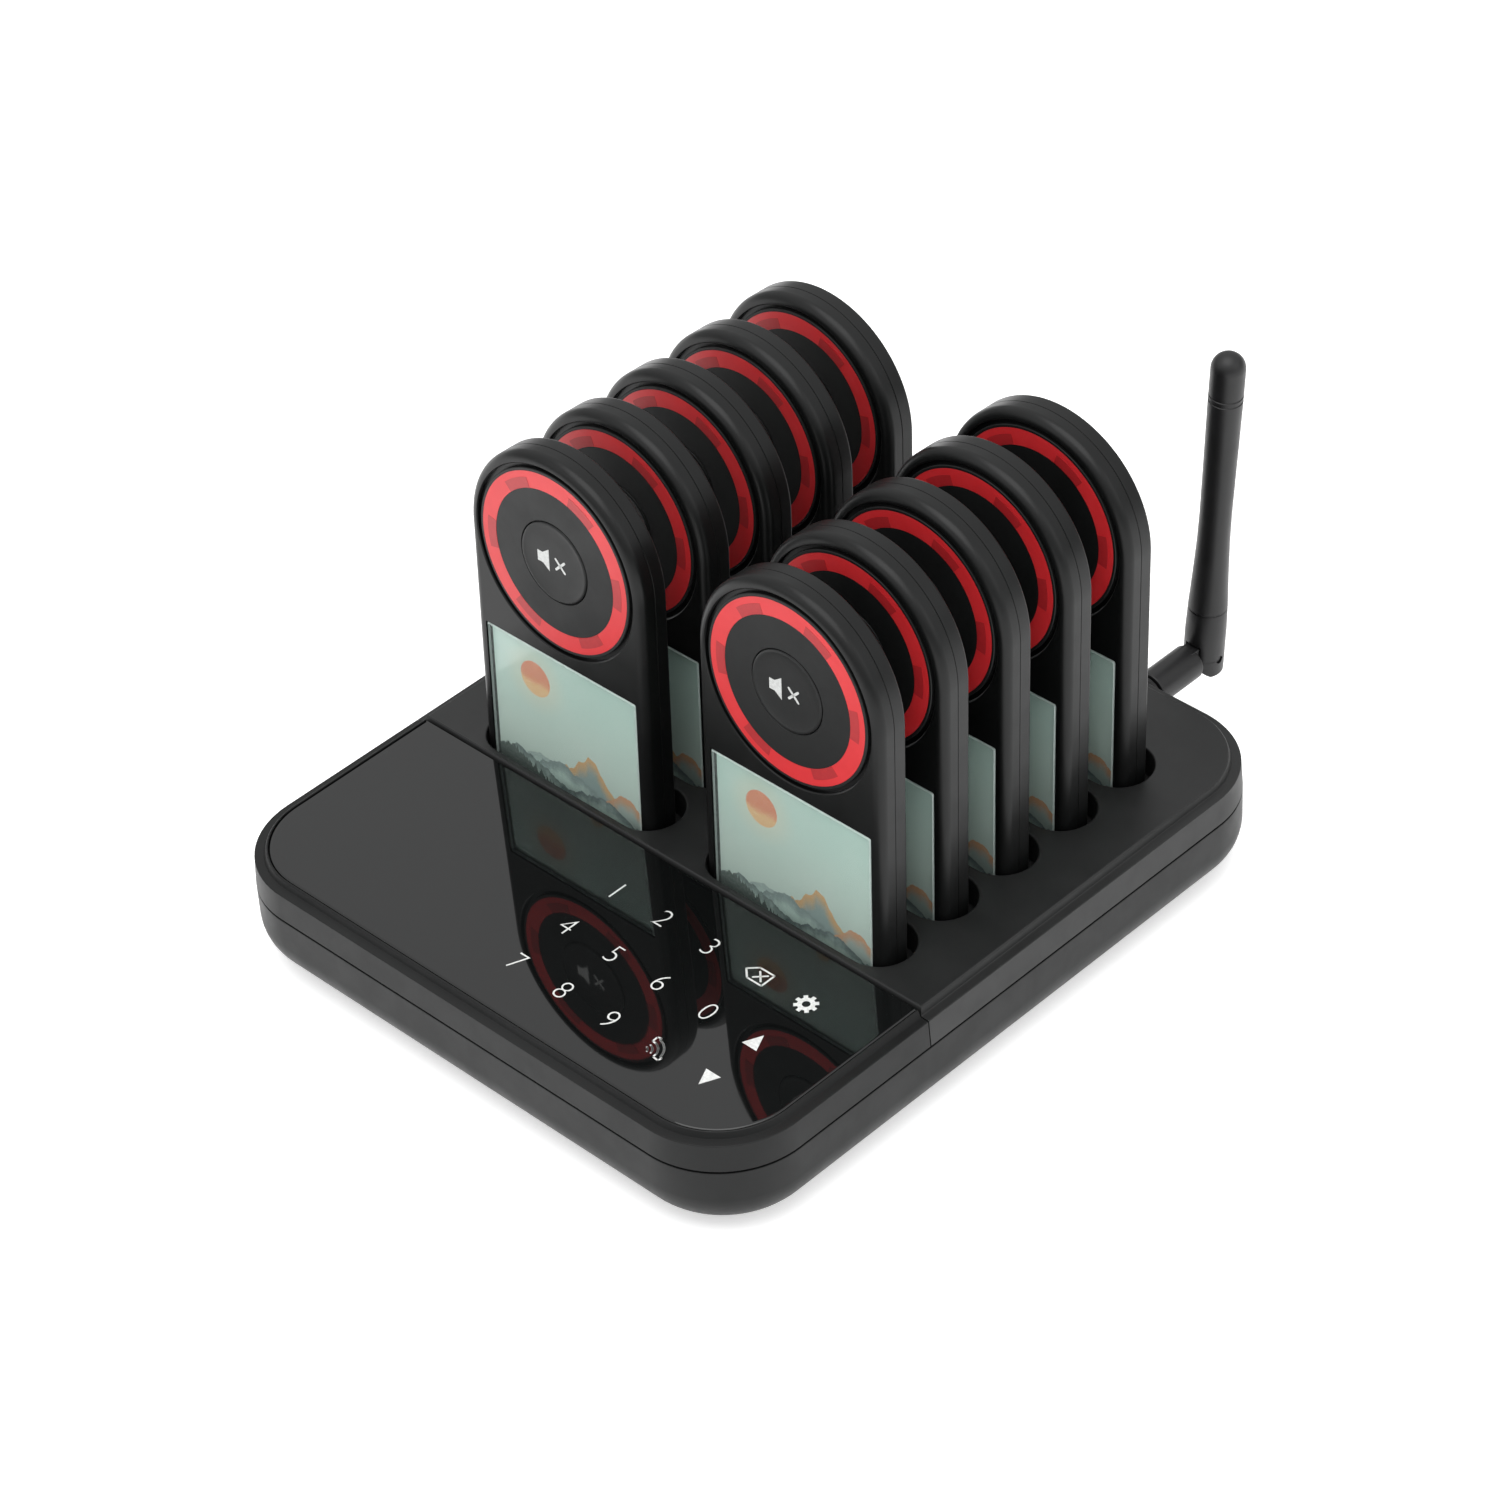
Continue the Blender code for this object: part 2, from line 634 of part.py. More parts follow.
def build_base(base, stances, collection):
    pieces = (
        ("base_lower_shell", lower_shell(), "satin_black"),
        ("keypad_frame", keypad_frame(), "satin_black"),
        ("keypad_glass", keypad_glass(), "glass_black"),
        ("dock_cover", dock_cover(stances), "matte_black"),
        ("control_board", control_board(), "board_green"),
        ("charging_board", charging_board(), "board_green"),
        ("dc_power_socket", dc_power_socket(), "satin_black"),
        ("antenna_socket", antenna_socket(), "steel"),
        ("antenna_collar", antenna_collar(), "satin_black"),
    )
    for name, solid, material in pieces:
        place(solid, name, base, material, collection)
    corners = [(x, y) for x in (-FOOT_X, FOOT_X) for y in (-FOOT_Y, FOOT_Y)]
    for number, (x, y) in enumerate(corners, 1):
        place(foot_pad(x, y), f"foot_{number}", base, "rubber", collection)


def build_antenna(base, collection):
    pivot = (ANTENNA_X, ANTENNA_PIN_Y, ANTENNA_Z)
    swivel = empty("antenna_swivel_axis", pivot, (0, ANTENNA_LEAN, 0), base, collection)
    fold = empty("antenna_fold_axis", (0, 0, 0), (0, 0, 0), swivel, collection)
    place(antenna_elbow(), "antenna_elbow", swivel, "satin_black", collection)
    place(antenna_hinge_pin(), "antenna_hinge_pin", fold, "steel", collection)
    place(antenna_whip(), "antenna_whip", fold, "satin_black", collection)


def build_pagers(base, stances, collection):
    """Ten pagers from one set of meshes; the first one also shows what is inside."""
    common = (
        ("front_shell", pager_front_shell(), "satin_black"),
        ("rear_shell", pager_rear_shell(), "satin_black"),
        ("light_ring", pager_light_ring(), "ring_red"),
        ("mute_button", pager_mute_button(), "matte_black"),
    )
    inside = (
        ("card_window", pager_card_window(), "window_clear"),
        ("circuit_board", pager_circuit_board(), "board_green"),
        ("battery", pager_battery(), "cell_silver"),
        ("vibration_motor", pager_vibration_motor(), "steel"),
    )
    for number, stance in enumerate(stances, 1):
        label = f"pager_{number:02d}"
        stand = empty(label + "_frame", stance.to_translation(), stance.to_euler(), base, collection)
        for part, solid, material in common + (inside if number == 1 else ()):
            piece = place(copied(solid), f"{label}_{part}", stand, material, collection)
            if part == "mute_button":
                piece.location = (0, RING_Y, 0)
    for _, solid, _ in common + inside:
        bpy.data.objects.remove(solid)


def main():
    clear_scene()
    collection = bpy.data.collections.new("paging_set")
    bpy.context.scene.collection.children.link(collection)
    base = empty("charging_base", (0, BASE_Y, 0), (0, 0, 0), None, collection)
    stances = pager_stances()
    build_base(base, stances, collection)
    build_antenna(base, collection)
    build_pagers(base, stances, collection)


main()
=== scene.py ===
"""Looks of the restaurant paging set: moulded black cases, keypad glass, lit rings, cards and antenna."""

import json
import math

import bmesh
import bpy
from mathutils import Matrix, Vector


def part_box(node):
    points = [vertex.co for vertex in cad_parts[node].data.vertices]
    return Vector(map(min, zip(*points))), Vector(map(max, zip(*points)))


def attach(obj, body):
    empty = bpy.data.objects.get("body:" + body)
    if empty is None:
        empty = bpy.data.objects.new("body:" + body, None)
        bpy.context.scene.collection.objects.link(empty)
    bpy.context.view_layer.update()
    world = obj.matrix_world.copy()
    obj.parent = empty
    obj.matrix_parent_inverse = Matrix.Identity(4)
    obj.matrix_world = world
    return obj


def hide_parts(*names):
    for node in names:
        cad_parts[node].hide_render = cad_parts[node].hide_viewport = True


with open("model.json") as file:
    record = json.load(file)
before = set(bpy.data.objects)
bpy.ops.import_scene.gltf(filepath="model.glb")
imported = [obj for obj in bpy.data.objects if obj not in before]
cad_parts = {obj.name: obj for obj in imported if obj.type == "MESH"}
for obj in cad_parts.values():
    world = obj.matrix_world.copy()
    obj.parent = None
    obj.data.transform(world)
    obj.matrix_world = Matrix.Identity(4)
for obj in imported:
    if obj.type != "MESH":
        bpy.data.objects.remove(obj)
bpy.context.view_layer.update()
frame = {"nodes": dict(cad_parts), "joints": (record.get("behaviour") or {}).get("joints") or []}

MM = 0.001
shift = Matrix.Translation
forget = bpy.data.objects.remove


def in_mm(*points):
    """Points written in millimetres, as metres."""
    return [tuple(value * MM for value in point) for point in points]


# ---- sizes from the frame


def size_of(node):
    low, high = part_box(node)
    return high - low


def middle_of(node):
    low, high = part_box(node)
    return (low + high) / 2


SHELL_LOW, SHELL_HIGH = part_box("base_lower_shell")
FRAME_LOW, FRAME_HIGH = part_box("keypad_frame")
GLASS_LOW, GLASS_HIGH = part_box("keypad_glass")
COVER_LOW, COVER_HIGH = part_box("dock_cover")
BASE_MIDDLE = Vector(((SHELL_LOW.x + SHELL_HIGH.x) / 2, (SHELL_LOW.y + SHELL_HIGH.y) / 2, 0))
HALF_WIDTH = (SHELL_HIGH.x - SHELL_LOW.x) / 2
HALF_LENGTH = (SHELL_HIGH.y - SHELL_LOW.y) / 2
FRAME_REAR = FRAME_HIGH.y - BASE_MIDDLE.y
COVER_FRONT = COVER_LOW.y - BASE_MIDDLE.y

BASE_CORNER = 22.6 * MM
BOTTOM_ROUND = 10.0 * MM
WALL = 2.2 * MM
SIDE_DRAFT = 0.45 * MM
SHOULDER_Z = 27.0 * MM
GLASS_BORDER = 3.7 * MM
CORNER_STEPS = 20

PAGERS = [f"pager_{number:02d}" for number in range(1, 11)]
PAGER_WIDTH = size_of("pager_02_front_shell").x
PAGER_LENGTH = 106.6 * MM
PAGER_DEPTH = 8.2 * MM
FOOT_CORNER = 6.0 * MM
CHARGE_SPACING = 9.0 * MM
PARTING = 3.65 * MM
STANDING_Z = 9.85 * MM
FACE_ROUND = 2.3 * MM
BACK_ROUND = 0.7 * MM
RING_Y = PAGER_LENGTH - PAGER_WIDTH / 2
RING_OUTER = 22.6 * MM
RING_INNER = 18.4 * MM
DIAL_RADIUS = 24.4 * MM
DIAL_FLOOR = 7.0 * MM
DIAL_TOP = 8.05 * MM
BUTTON_RADIUS = 10.2 * MM
BUTTON_TOP = 8.2 * MM
PATCHES = 6
WINDOW_WIDTH = 47.4 * MM
WINDOW_LOW_Y = 8.0 * MM
WINDOW_HIGH_Y = 52.2 * MM
WINDOW_FLOOR = 6.95 * MM
WINDOW_TOP = 8.2 * MM
WELL_LENGTH = 58.0 * MM
WELL_WIDTH = 16.4 * MM
WELL_FROM_BACK = -1.7 * MM


def axis_of(joint):
    return Vector(next(j for j in frame["joints"] if j["name"] == joint)["axis"])


LIFT_AXIS = axis_of("pager_01_lift")
LEAN = math.atan2(LIFT_AXIS.y, LIFT_AXIS.z)

# ---- outlines


def arc(x, y, radius, start, end, steps):
    """Points along an arc, both ends included; the angles are in degrees."""
    points = []
    for i in range(steps + 1):
        angle = math.radians(start + (end - start) * i / steps)
        points.append((x + radius * math.cos(angle), y + radius * math.sin(angle)))
    return points


def rounded_box(x0, x1, y0, y1, front_radius, rear_radius, steps=CORNER_STEPS):
    """A rectangle's outline with round corners; a corner of radius 0 is one point."""
    corners = (
        (x1 - front_radius, y0 + front_radius, front_radius, 270),
        (x1 - rear_radius, y1 - rear_radius, rear_radius, 0),
        (x0 + rear_radius, y1 - rear_radius, rear_radius, 90),
        (x0 + front_radius, y0 + front_radius, front_radius, 180),
    )
    points = []
    for x, y, radius, start in corners:
        points += arc(x, y, radius, start, start + 90, steps) if radius > 0 else [(x, y)]
    return points


def whole_outline(inset):
    x, y, corner = HALF_WIDTH - inset, HALF_LENGTH - inset, BASE_CORNER - inset
    return rounded_box(-x, x, -y, y, corner, corner)


def front_outline(inset, rear):
    x, front = HALF_WIDTH - inset, -HALF_LENGTH + inset
    return rounded_box(-x, x, front, rear, BASE_CORNER - inset, 0)


def rear_outline(inset, front):
    x, rear = HALF_WIDTH - inset, HALF_LENGTH - inset
    return rounded_box(-x, x, front, rear, 0, BASE_CORNER - inset)


def stadium(length, width, inset=0.0, steps=20):
    radius = width / 2 - inset
    half = length / 2 - width / 2
    return arc(half, 0, radius, -90, 90, steps) + arc(-half, 0, radius, 90, 270, steps)


def pager_outline(inset=0.0):
    """A pager seen from its face: straight sides, a round top and small corners at the foot."""
    half, corner = PAGER_WIDTH / 2 - inset, FOOT_CORNER - inset
    points = arc(half - corner, FOOT_CORNER, corner, 270, 360, 8)
    points += arc(0, RING_Y, half, 0, 180, 72)
    points += arc(-half + corner, FOOT_CORNER, corner, 180, 270, 8)
    return points


def stepped(x, z, *steps):
    """Points at steps in millimetres from one point of a profile."""
    return [(x + across * MM, z + rise * MM) for across, rise in steps]


def at_height(outline, z):
    return [(x, y, z) for x, y in outline]


# ---- solids


def placed(name, data):
    """A new object in the scene, at the origin."""
    obj = bpy.data.objects.new(name, data)
    bpy.context.scene.collection.objects.link(obj)
    return obj


def linked(name, bm):
    """Turns finished mesh work into an object."""
    mesh = bpy.data.meshes.new(name)
    bm.to_mesh(mesh)
    bm.free()
    return placed(name, mesh)


def stacked(name, rings):
    """A closed solid whose skin runs through rings of equally many points, capped at both ends."""
    bm = bmesh.new()
    loops = [[bm.verts.new(point) for point in ring] for ring in rings]
    for low, high in zip(loops, loops[1:]):
        for i in range(len(low)):
            j = (i + 1) % len(low)
            bm.faces.new((low[i], low[j], high[j], high[i]))
    bm.faces.new(list(reversed(loops[0])))
    bm.faces.new(loops[-1])
    bmesh.ops.remove_doubles(bm, verts=bm.verts, dist=1e-7)
    bmesh.ops.recalc_face_normals(bm, faces=bm.faces)
    return linked(name, bm)


def turned(name, profile, steps=96):
    """A solid turned about Z from (radius, height) points that start and end on the axis."""
    bm = bmesh.new()
    rings = []
    for radius, height in profile:
        if radius < 1e-9:
            rings.append([bm.verts.new((0, 0, height))])
            continue
        turns = [2 * math.pi * i / steps for i in range(steps)]
        rings.append([bm.verts.new((radius * math.cos(a), radius * math.sin(a), height)) for a in turns])
    for low, high in zip(rings, rings[1:]):
        for i in range(steps):
            j = (i + 1) % steps
            if len(low) == 1:
                bm.faces.new((low[0], high[j], high[i]))
            elif len(high) == 1:
                bm.faces.new((low[i], low[j], high[0]))
            else:
                bm.faces.new((low[i], low[j], high[j], high[i]))
    bmesh.ops.recalc_face_normals(bm, faces=bm.faces)
    return linked(name, bm)


def turned_ring(name, profile, steps=128):
    """A ring turned about Z from a closed (radius, height) section."""
    bm = bmesh.new()
    loops = []
    for i in range(steps):
        a = 2 * math.pi * i / steps
        loops.append([bm.verts.new((r * math.cos(a), r * math.sin(a), z)) for r, z in profile])
    count = len(profile)
    for i in range(steps):
        here, there = loops[i], loops[(i + 1) % steps]
        for k in range(count):
            m = (k + 1) % count
            bm.faces.new((here[k], there[k], there[m], here[m]))
    bmesh.ops.recalc_face_normals(bm, faces=bm.faces)
    return linked(name, bm)


def plate(name, outline, low, high, lip=0.0):
    """A flat plate on an outline, its upper edge broken by a small lip where one is given."""
    rings = [at_height(outline, low), at_height(outline, high)]
    solid = stacked(name, rings)
    if lip:
        bevel = solid.modifiers.new("Lip", "BEVEL")
        bevel.width = lip
        bevel.segments = 2
        bevel.limit_method = "ANGLE"
        bevel.angle_limit = math.radians(50)
        baked(solid)
    return solid


def rod(radius, low, high, steps=40):
    """A plain round bar about Z, to cut with or to join on."""
    return turned("rod", ((0, low), (radius, low), (radius, high), (0, high)), steps)


def bar(x0, x1, y0, y1, low, high):
    """A plain square-cornered bar, to cut with or to join on."""
    return plate("bar", rounded_box(x0, x1, y0, y1, 0, 0), low, high)


def evaluated_mesh(obj):
    bpy.context.view_layer.update()
    graph = bpy.context.evaluated_depsgraph_get()
    return bpy.data.meshes.new_from_object(obj.evaluated_get(graph), depsgraph=graph)


def baked(obj):
    """Replaces an object's mesh by what its modifiers make of it."""
    mesh = evaluated_mesh(obj)
    obj.modifiers.clear()
    obj.data = mesh
    return obj


def together(name, objects):
    """One object that holds several meshes side by side."""
    bm = bmesh.new()
    for obj in objects:
        mesh = obj.data.copy()
        mesh.transform(obj.matrix_world)
        bm.from_mesh(mesh)
        forget(obj)
    return linked(name, bm)


def combined(target, tool, operation):
    modifier = target.modifiers.new(operation.title(), "BOOLEAN")
    modifier.operation = operation
    modifier.object = tool
    baked(target)
    forget(tool)
    return target


def twin_of(obj):
    """Another object with its own copy of the mesh."""
    return placed(obj.name, obj.data.copy())


def cut(target, tool):
    return combined(target, tool, "DIFFERENCE")


def joined(target, tool):
    return combined(target, tool, "UNION")


def moved(obj, matrix):
    """Puts a move into the mesh itself, so that the object stays at the origin."""
    obj.data.transform(matrix)
    if matrix.determinant() < 0:
        obj.data.flip_normals()
    return obj


def smoothed(obj, angle=32):
    """Smooth shading with crisp edges; large flat faces keep their own direction."""
    obj.data.shade_smooth()
    obj.data.set_sharp_from_angle(angle=math.radians(angle))
    weighted = obj.modifiers.new("Flat faces", "WEIGHTED_NORMAL")
    weighted.mode = "FACE_AREA"
    weighted.keep_sharp = True
    return baked(obj)


def painted(obj, *materials):
    obj.data.materials.clear()
    for material in materials:
        obj.data.materials.append(material)
    return obj


# ---- materials


class Tree:
    """Short calls for wiring a node tree."""

    def __init__(self, tree):
        self.tree = tree

    def wire(self, source, socket):
        if isinstance(source, bpy.types.NodeSocket):
            self.tree.links.new(source, socket)
        else:
            socket.default_value = source

    def node(self, kind, inputs=(), output=0, **settings):
        """Adds a node, wires or sets its inputs, given by name or place, and returns one output."""
        node = self.tree.nodes.new(kind)
        for key, value in settings.items():
            setattr(node, key, value)
        for key, source in dict(inputs).items():
            self.wire(source, node.inputs[key])
        return node.outputs[output]

    def math(self, operation, first, second=0.0):
        return self.node("ShaderNodeMath", {0: first, 1: second}, operation=operation)

    def between(self, value, low, high, to_low=0.0, to_high=1.0):
        """Maps low..high to to_low..to_high, smoothly and clamped."""
        inputs = enumerate((value, low, high, to_low, to_high))
        return self.node("ShaderNodeMapRange", inputs, interpolation_type="SMOOTHSTEP")


class Nodes(Tree):
    """One material's node tree."""

    def __init__(self, name):
        self.material = bpy.data.materials.new(name)
        self.material.use_nodes = True
        super().__init__(self.material.node_tree)
        self.shader = self.tree.nodes["Principled BSDF"]

    def fixed(self, **values):
        """Sets plain values on the shader; an underscore stands for a space in a socket's name."""
        for name, value in values.items():
            self.shader.inputs[name.replace("_", " ")].default_value = value

    def colour(self, source):
        self.wire(source, self.shader.inputs["Base Color"])

    def roughness(self, source):
        self.wire(source, self.shader.inputs["Roughness"])

    def mix(self, share, first, second):
        return self.node("ShaderNodeMix", {"Factor": share, "A": first, "B": second}, "Result",
                         data_type="RGBA")

    def noise(self, vector, scale, detail=2.0, roughness=0.5):
        return self.node("ShaderNodeTexNoise", {"Vector": vector, "Scale": scale, "Detail": detail,
                                                "Roughness": roughness})

    def place(self):
        return self.node("ShaderNodeTexCoord", output="Object")

    def bump(self, height, strength, distance):
        inputs = {"Strength": strength, "Distance": distance, "Height": height}
        self.wire(self.node("ShaderNodeBump", inputs), self.shader.inputs["Normal"])


def rgb(red, green, blue):
    """A colour given as it looks on a screen, 0 to 255, as the shader wants it."""
    values = []
    for value in (red, green, blue):
        v = value / 255
        values.append(v / 12.92 if v <= 0.04045 else ((v + 0.055) / 1.055) ** 2.4)
    return (*values, 1.0)


def moulded(name, dark, pale, rough, grain=0.06, grain_size=0.35 * MM, specular=0.4):
    """Textured injection-moulded plastic: fine spark grain, faint flow marks and handling sheen."""
    n = Nodes(name)
    spot = n.place()
    flow = n.noise(spot, 1 / (38 * MM), 3.0, 0.55)
    handling = n.noise(spot, 1 / (9 * MM), 4.0, 0.6)
    n.colour(n.mix(n.between(flow, 0.35, 0.68), dark, pale))
    n.roughness(n.between(handling, 0.3, 0.7, rough - 0.035, rough + 0.045))
    n.fixed(Specular_IOR_Level=specular)
    n.bump(n.noise(spot, 1 / grain_size, 2.0, 0.6), grain, 0.05 * MM)
    return n.material


def keypad_glass_material():
    """Back-painted glass: black, mirror smooth, with the faintest finger haze."""
    n = Nodes("keypad glass")
    spot = n.place()
    haze = n.noise(spot, 1 / (22 * MM), 4.0, 0.62)
    n.colour(n.mix(haze, rgb(9, 11, 11), rgb(14, 15, 15)))
    n.roughness(n.between(haze, 0.45, 0.75, 0.022, 0.055))
    n.fixed(IOR=1.5)
    return n.material


def glow_ring_material():
    """Red light guide, clouded inside, with a satin face."""
    n = Nodes("glow ring")
    spot = n.place()
    cloud = n.noise(spot, 1 / (6 * MM), 3.0, 0.55)
    n.colour(n.mix(cloud, rgb(204, 36, 42), rgb(222, 52, 57)))
    n.fixed(Roughness=0.38, Subsurface_Weight=0.25, Subsurface_Radius=(1.0, 0.18, 0.15),
            Subsurface_Scale=0.6 * MM)
    n.bump(n.noise(spot, 1 / (0.5 * MM), 2.0), 0.03, 0.04 * MM)
    return n.material


def glow_patch_material():
    """The lamps' diffusers, darker than the ring round them."""
    n = Nodes("glow patch")
    cells = n.noise(n.place(), 1 / (1.2 * MM), 2.0)
    n.colour(n.mix(cells, rgb(164, 30, 36), rgb(182, 38, 43)))
    n.fixed(Roughness=0.4)
    return n.material


def sign_material(name, colour):
    """Pad-printed ink, slightly uneven."""
    n = Nodes(name)
    ink = n.noise(n.place(), 1 / (0.6 * MM), 3.0)
    n.colour(n.mix(n.between(ink, 0.3, 0.7), colour, rgb(196, 198, 196)))
    n.roughness(n.between(ink, 0.3, 0.7, 0.42, 0.6))
    return n.material


def window_material():
    """Clear acrylic face: only its gloss shows."""
    n = Nodes("window face")
    n.fixed(Base_Color=rgb(214, 232, 226), Alpha=0.07)
    smear = n.noise(n.place(), 1 / (14 * MM), 3.0)
    n.roughness(n.between(smear, 0.3, 0.8, 0.02, 0.06))
    return n.material


def window_edge_highlight_material():
    """The acrylic's sawn edge, painted pale near-white as a highlight for the light it catches."""
    n = Nodes("window edge")
    spot = n.place()
    highlight_streaks = n.noise(spot, 1 / (0.8 * MM), 2.0)
    # Painted highlight: the near-white colour stands in for light caught by the edge.
    n.colour(n.mix(highlight_streaks, rgb(190, 208, 202), rgb(226, 238, 234)))
    n.fixed(Alpha=0.62, Roughness=0.28)
    return n.material


def hill(n, across, height, peak, top, slope, rough, waves, seed):
    """1 below a hill's rugged outline and 0 above it, and how far below the outline a point is."""
    along = n.math("ADD", n.math("MULTIPLY", across, waves), seed)
    line = n.node("ShaderNodeTexNoise", {"W": along, "Scale": 1.0, "Detail": 6.0, "Roughness": 0.56},
                  noise_dimensions="1D")
    rise = n.math("MULTIPLY", n.math("SUBTRACT", line, 0.5), rough)
    away = n.math("ABSOLUTE", n.math("SUBTRACT", across, peak))
    crest = n.math("ADD", n.math("SUBTRACT", top, n.math("MULTIPLY", away, slope)), rise)
    depth = n.math("SUBTRACT", crest, height)
    return n.between(depth, 0.0, 0.007), depth


def card_material():
    """A printed card of our own: pale sky, a low sun and layers of misty hills."""
    n = Nodes("printed card")
    spot = n.node("ShaderNodeUVMap", uv_map="card")
    across, height = (n.node("ShaderNodeSeparateXYZ", {0: spot}, axis) for axis in (0, 1))
    paper = n.noise(spot, 60.0, 3.0)
    wash = n.noise(spot, 3.2, 4.0, 0.6)
    brush = n.noise(spot, 14.0, 5.0, 0.65)

    sky = n.mix(n.between(height, 0.3, 1.0), rgb(190, 211, 200), rgb(172, 202, 191))
    sky = n.mix(n.between(wash, 0.35, 0.8, 0.0, 0.3), sky, rgb(202, 218, 208))
    from_sun_x = n.math("SUBTRACT", across, 0.29)
    from_sun_y = n.math("MULTIPLY", n.math("SUBTRACT", height, 0.79), 0.93)
    from_sun = n.math("SQRT", n.math("ADD", n.math("MULTIPLY", from_sun_x, from_sun_x),
                                     n.math("MULTIPLY", from_sun_y, from_sun_y)))
    haze = n.between(from_sun, 0.10, 0.24, 0.22, 0.0)
    sky = n.mix(haze, sky, rgb(222, 198, 158))
    ragged = n.math("SUBTRACT", brush, 0.5)
    low_band = n.math("ADD", height, n.math("MULTIPLY", ragged, 0.12))
    sun_paint = n.mix(n.between(low_band, 0.745, 0.80), rgb(216, 178, 122), rgb(203, 118, 78))
    sun_paint = n.mix(n.between(brush, 0.3, 0.75, 0.0, 0.35), sun_paint, rgb(226, 150, 96))
    picture = n.mix(n.between(from_sun, 0.100, 0.105, 1.0, 0.0), sky, sun_paint)

    clear_mist = rgb(176, 202, 192)
    hills = (
        (0.30, 0.300, 0.30, 0.10, 5.0, 4.7, rgb(150, 170, 164), clear_mist, 0.10),
        (0.64, 0.440, 0.72, 0.16, 6.5, 9.2, rgb(204, 158, 92), rgb(128, 150, 146), 0.13),
        (0.92, 0.335, 0.60, 0.13, 7.0, 21.4, rgb(200, 142, 92), rgb(150, 168, 160), 0.11),
        (0.47, 0.325, 0.42, 0.13, 8.0, 1.4, rgb(112, 132, 130), clear_mist, 0.12),
        (0.16, 0.270, 0.35, 0.10, 9.0, 6.6, rgb(84, 104, 102), clear_mist, 0.10),
        (0.74, 0.235, 0.30, 0.10, 9.0, 14.1, rgb(70, 90, 92), clear_mist, 0.09),
    )
    for peak, top, slope, rough, waves, seed, crest, mist, fade in hills:
        mask, depth = hill(n, across, height, peak, top, slope, rough, waves, seed)
        shade = n.math("ADD", depth, n.math("MULTIPLY", ragged, 0.10))
        picture = n.mix(mask, picture, n.mix(n.between(shade, 0.0, fade), crest, mist))
    trees, _ = hill(n, across, height, 0.08, 0.255, 0.42, 0.12, 46.0, 2.0)
    picture = n.mix(trees, picture, rgb(48, 64, 58))
    picture = n.mix(n.between(paper, 0.3, 0.8, 0.0, 0.08), picture, rgb(226, 230, 222))
    n.colour(picture)
    n.fixed(Roughness=0.35, Coat_Weight=0.5, Coat_Roughness=0.05)
    return n.material


def metal(name, pale, dark, rough):
    """Plated or machined metal with fine turning marks."""
    n = Nodes(name)
    spot = n.place()
    marks = n.noise(spot, 1 / (0.7 * MM), 4.0, 0.6)
    n.colour(n.mix(marks, dark, pale))
    n.roughness(n.between(marks, 0.3, 0.7, rough - 0.06, rough + 0.08))
    n.fixed(Metallic=1.0)
    n.bump(marks, 0.05, 0.03 * MM)
    return n.material


HOUSING = moulded("housing plastic", rgb(16, 17, 17), rgb(21, 22, 22), 0.42, specular=0.23)
DECK = moulded("deck plastic", rgb(18, 19, 19), rgb(23, 24, 24), 0.46, grain=0.08)
PAGER_CASE = moulded("pager case plastic", rgb(12, 13, 13), rgb(16, 17, 17), 0.34, specular=0.27)
DIAL = moulded("dial plastic", rgb(17, 18, 18), rgb(21, 22, 22), 0.50, specular=0.32)
BUTTON = moulded("button plastic", rgb(17, 18, 18), rgb(21, 22, 22), 0.46, specular=0.32)
ANTENNA = moulded("antenna plastic", rgb(17, 17, 18), rgb(22, 22, 23), 0.40)
RUBBER = moulded("foot rubber", rgb(18, 18, 18), rgb(24, 24, 23), 0.82, grain=0.16, grain_size=0.6 * MM)
BOARD = moulded("board lacquer", rgb(18, 78, 46), rgb(24, 92, 54), 0.42)
CONNECTOR = moulded("connector nylon", rgb(16, 16, 16), rgb(22, 22, 22), 0.38)
GLASS = keypad_glass_material()
GLOW = glow_ring_material()
PATCH = glow_patch_material()
KEY_INK = sign_material("keypad ink", rgb(222, 224, 222))
MUTE_INK = sign_material("mute ink", rgb(214, 216, 214))
WINDOW = window_material()
# Painted highlight for the card windows' edges.
WINDOW_EDGE_HIGHLIGHT = window_edge_highlight_material()
CARD = card_material()
GOLD = metal("contact gold", rgb(232, 196, 120), rgb(206, 166, 92), 0.3)
STEEL = metal("plated steel", rgb(186, 184, 178), rgb(150, 148, 142), 0.34)
CELL = metal("cell foil", rgb(190, 192, 196), rgb(168, 170, 174), 0.42)

# ---- repeated shapes


def ring_of_points(tree, given):
    """Points round a circle about Z; each shape's X axis looks away from the middle."""
    circle = tree.node("GeometryNodeMeshCircle", {"Vertices": given["Count"], "Radius": given["Radius"]})
    spot = tree.node("GeometryNodeInputPosition")
    turn = tree.node("FunctionNodeAlignRotationToVector", {"Vector": spot}, axis="X", pivot_axis="Z")
    return {"Points": circle, "Rotation": turn}


def row_of_points(tree, given):
    """Points in a row along X, about the middle."""
    span = tree.math("MULTIPLY", tree.math("SUBTRACT", given["Count"], 1), given["Spacing"])
    grid = tree.node("GeometryNodeMeshGrid", {"Vertices X": given["Count"], "Size X": span,
                                              "Vertices Y": 1, "Size Y": 0})
    return {"Points": grid}


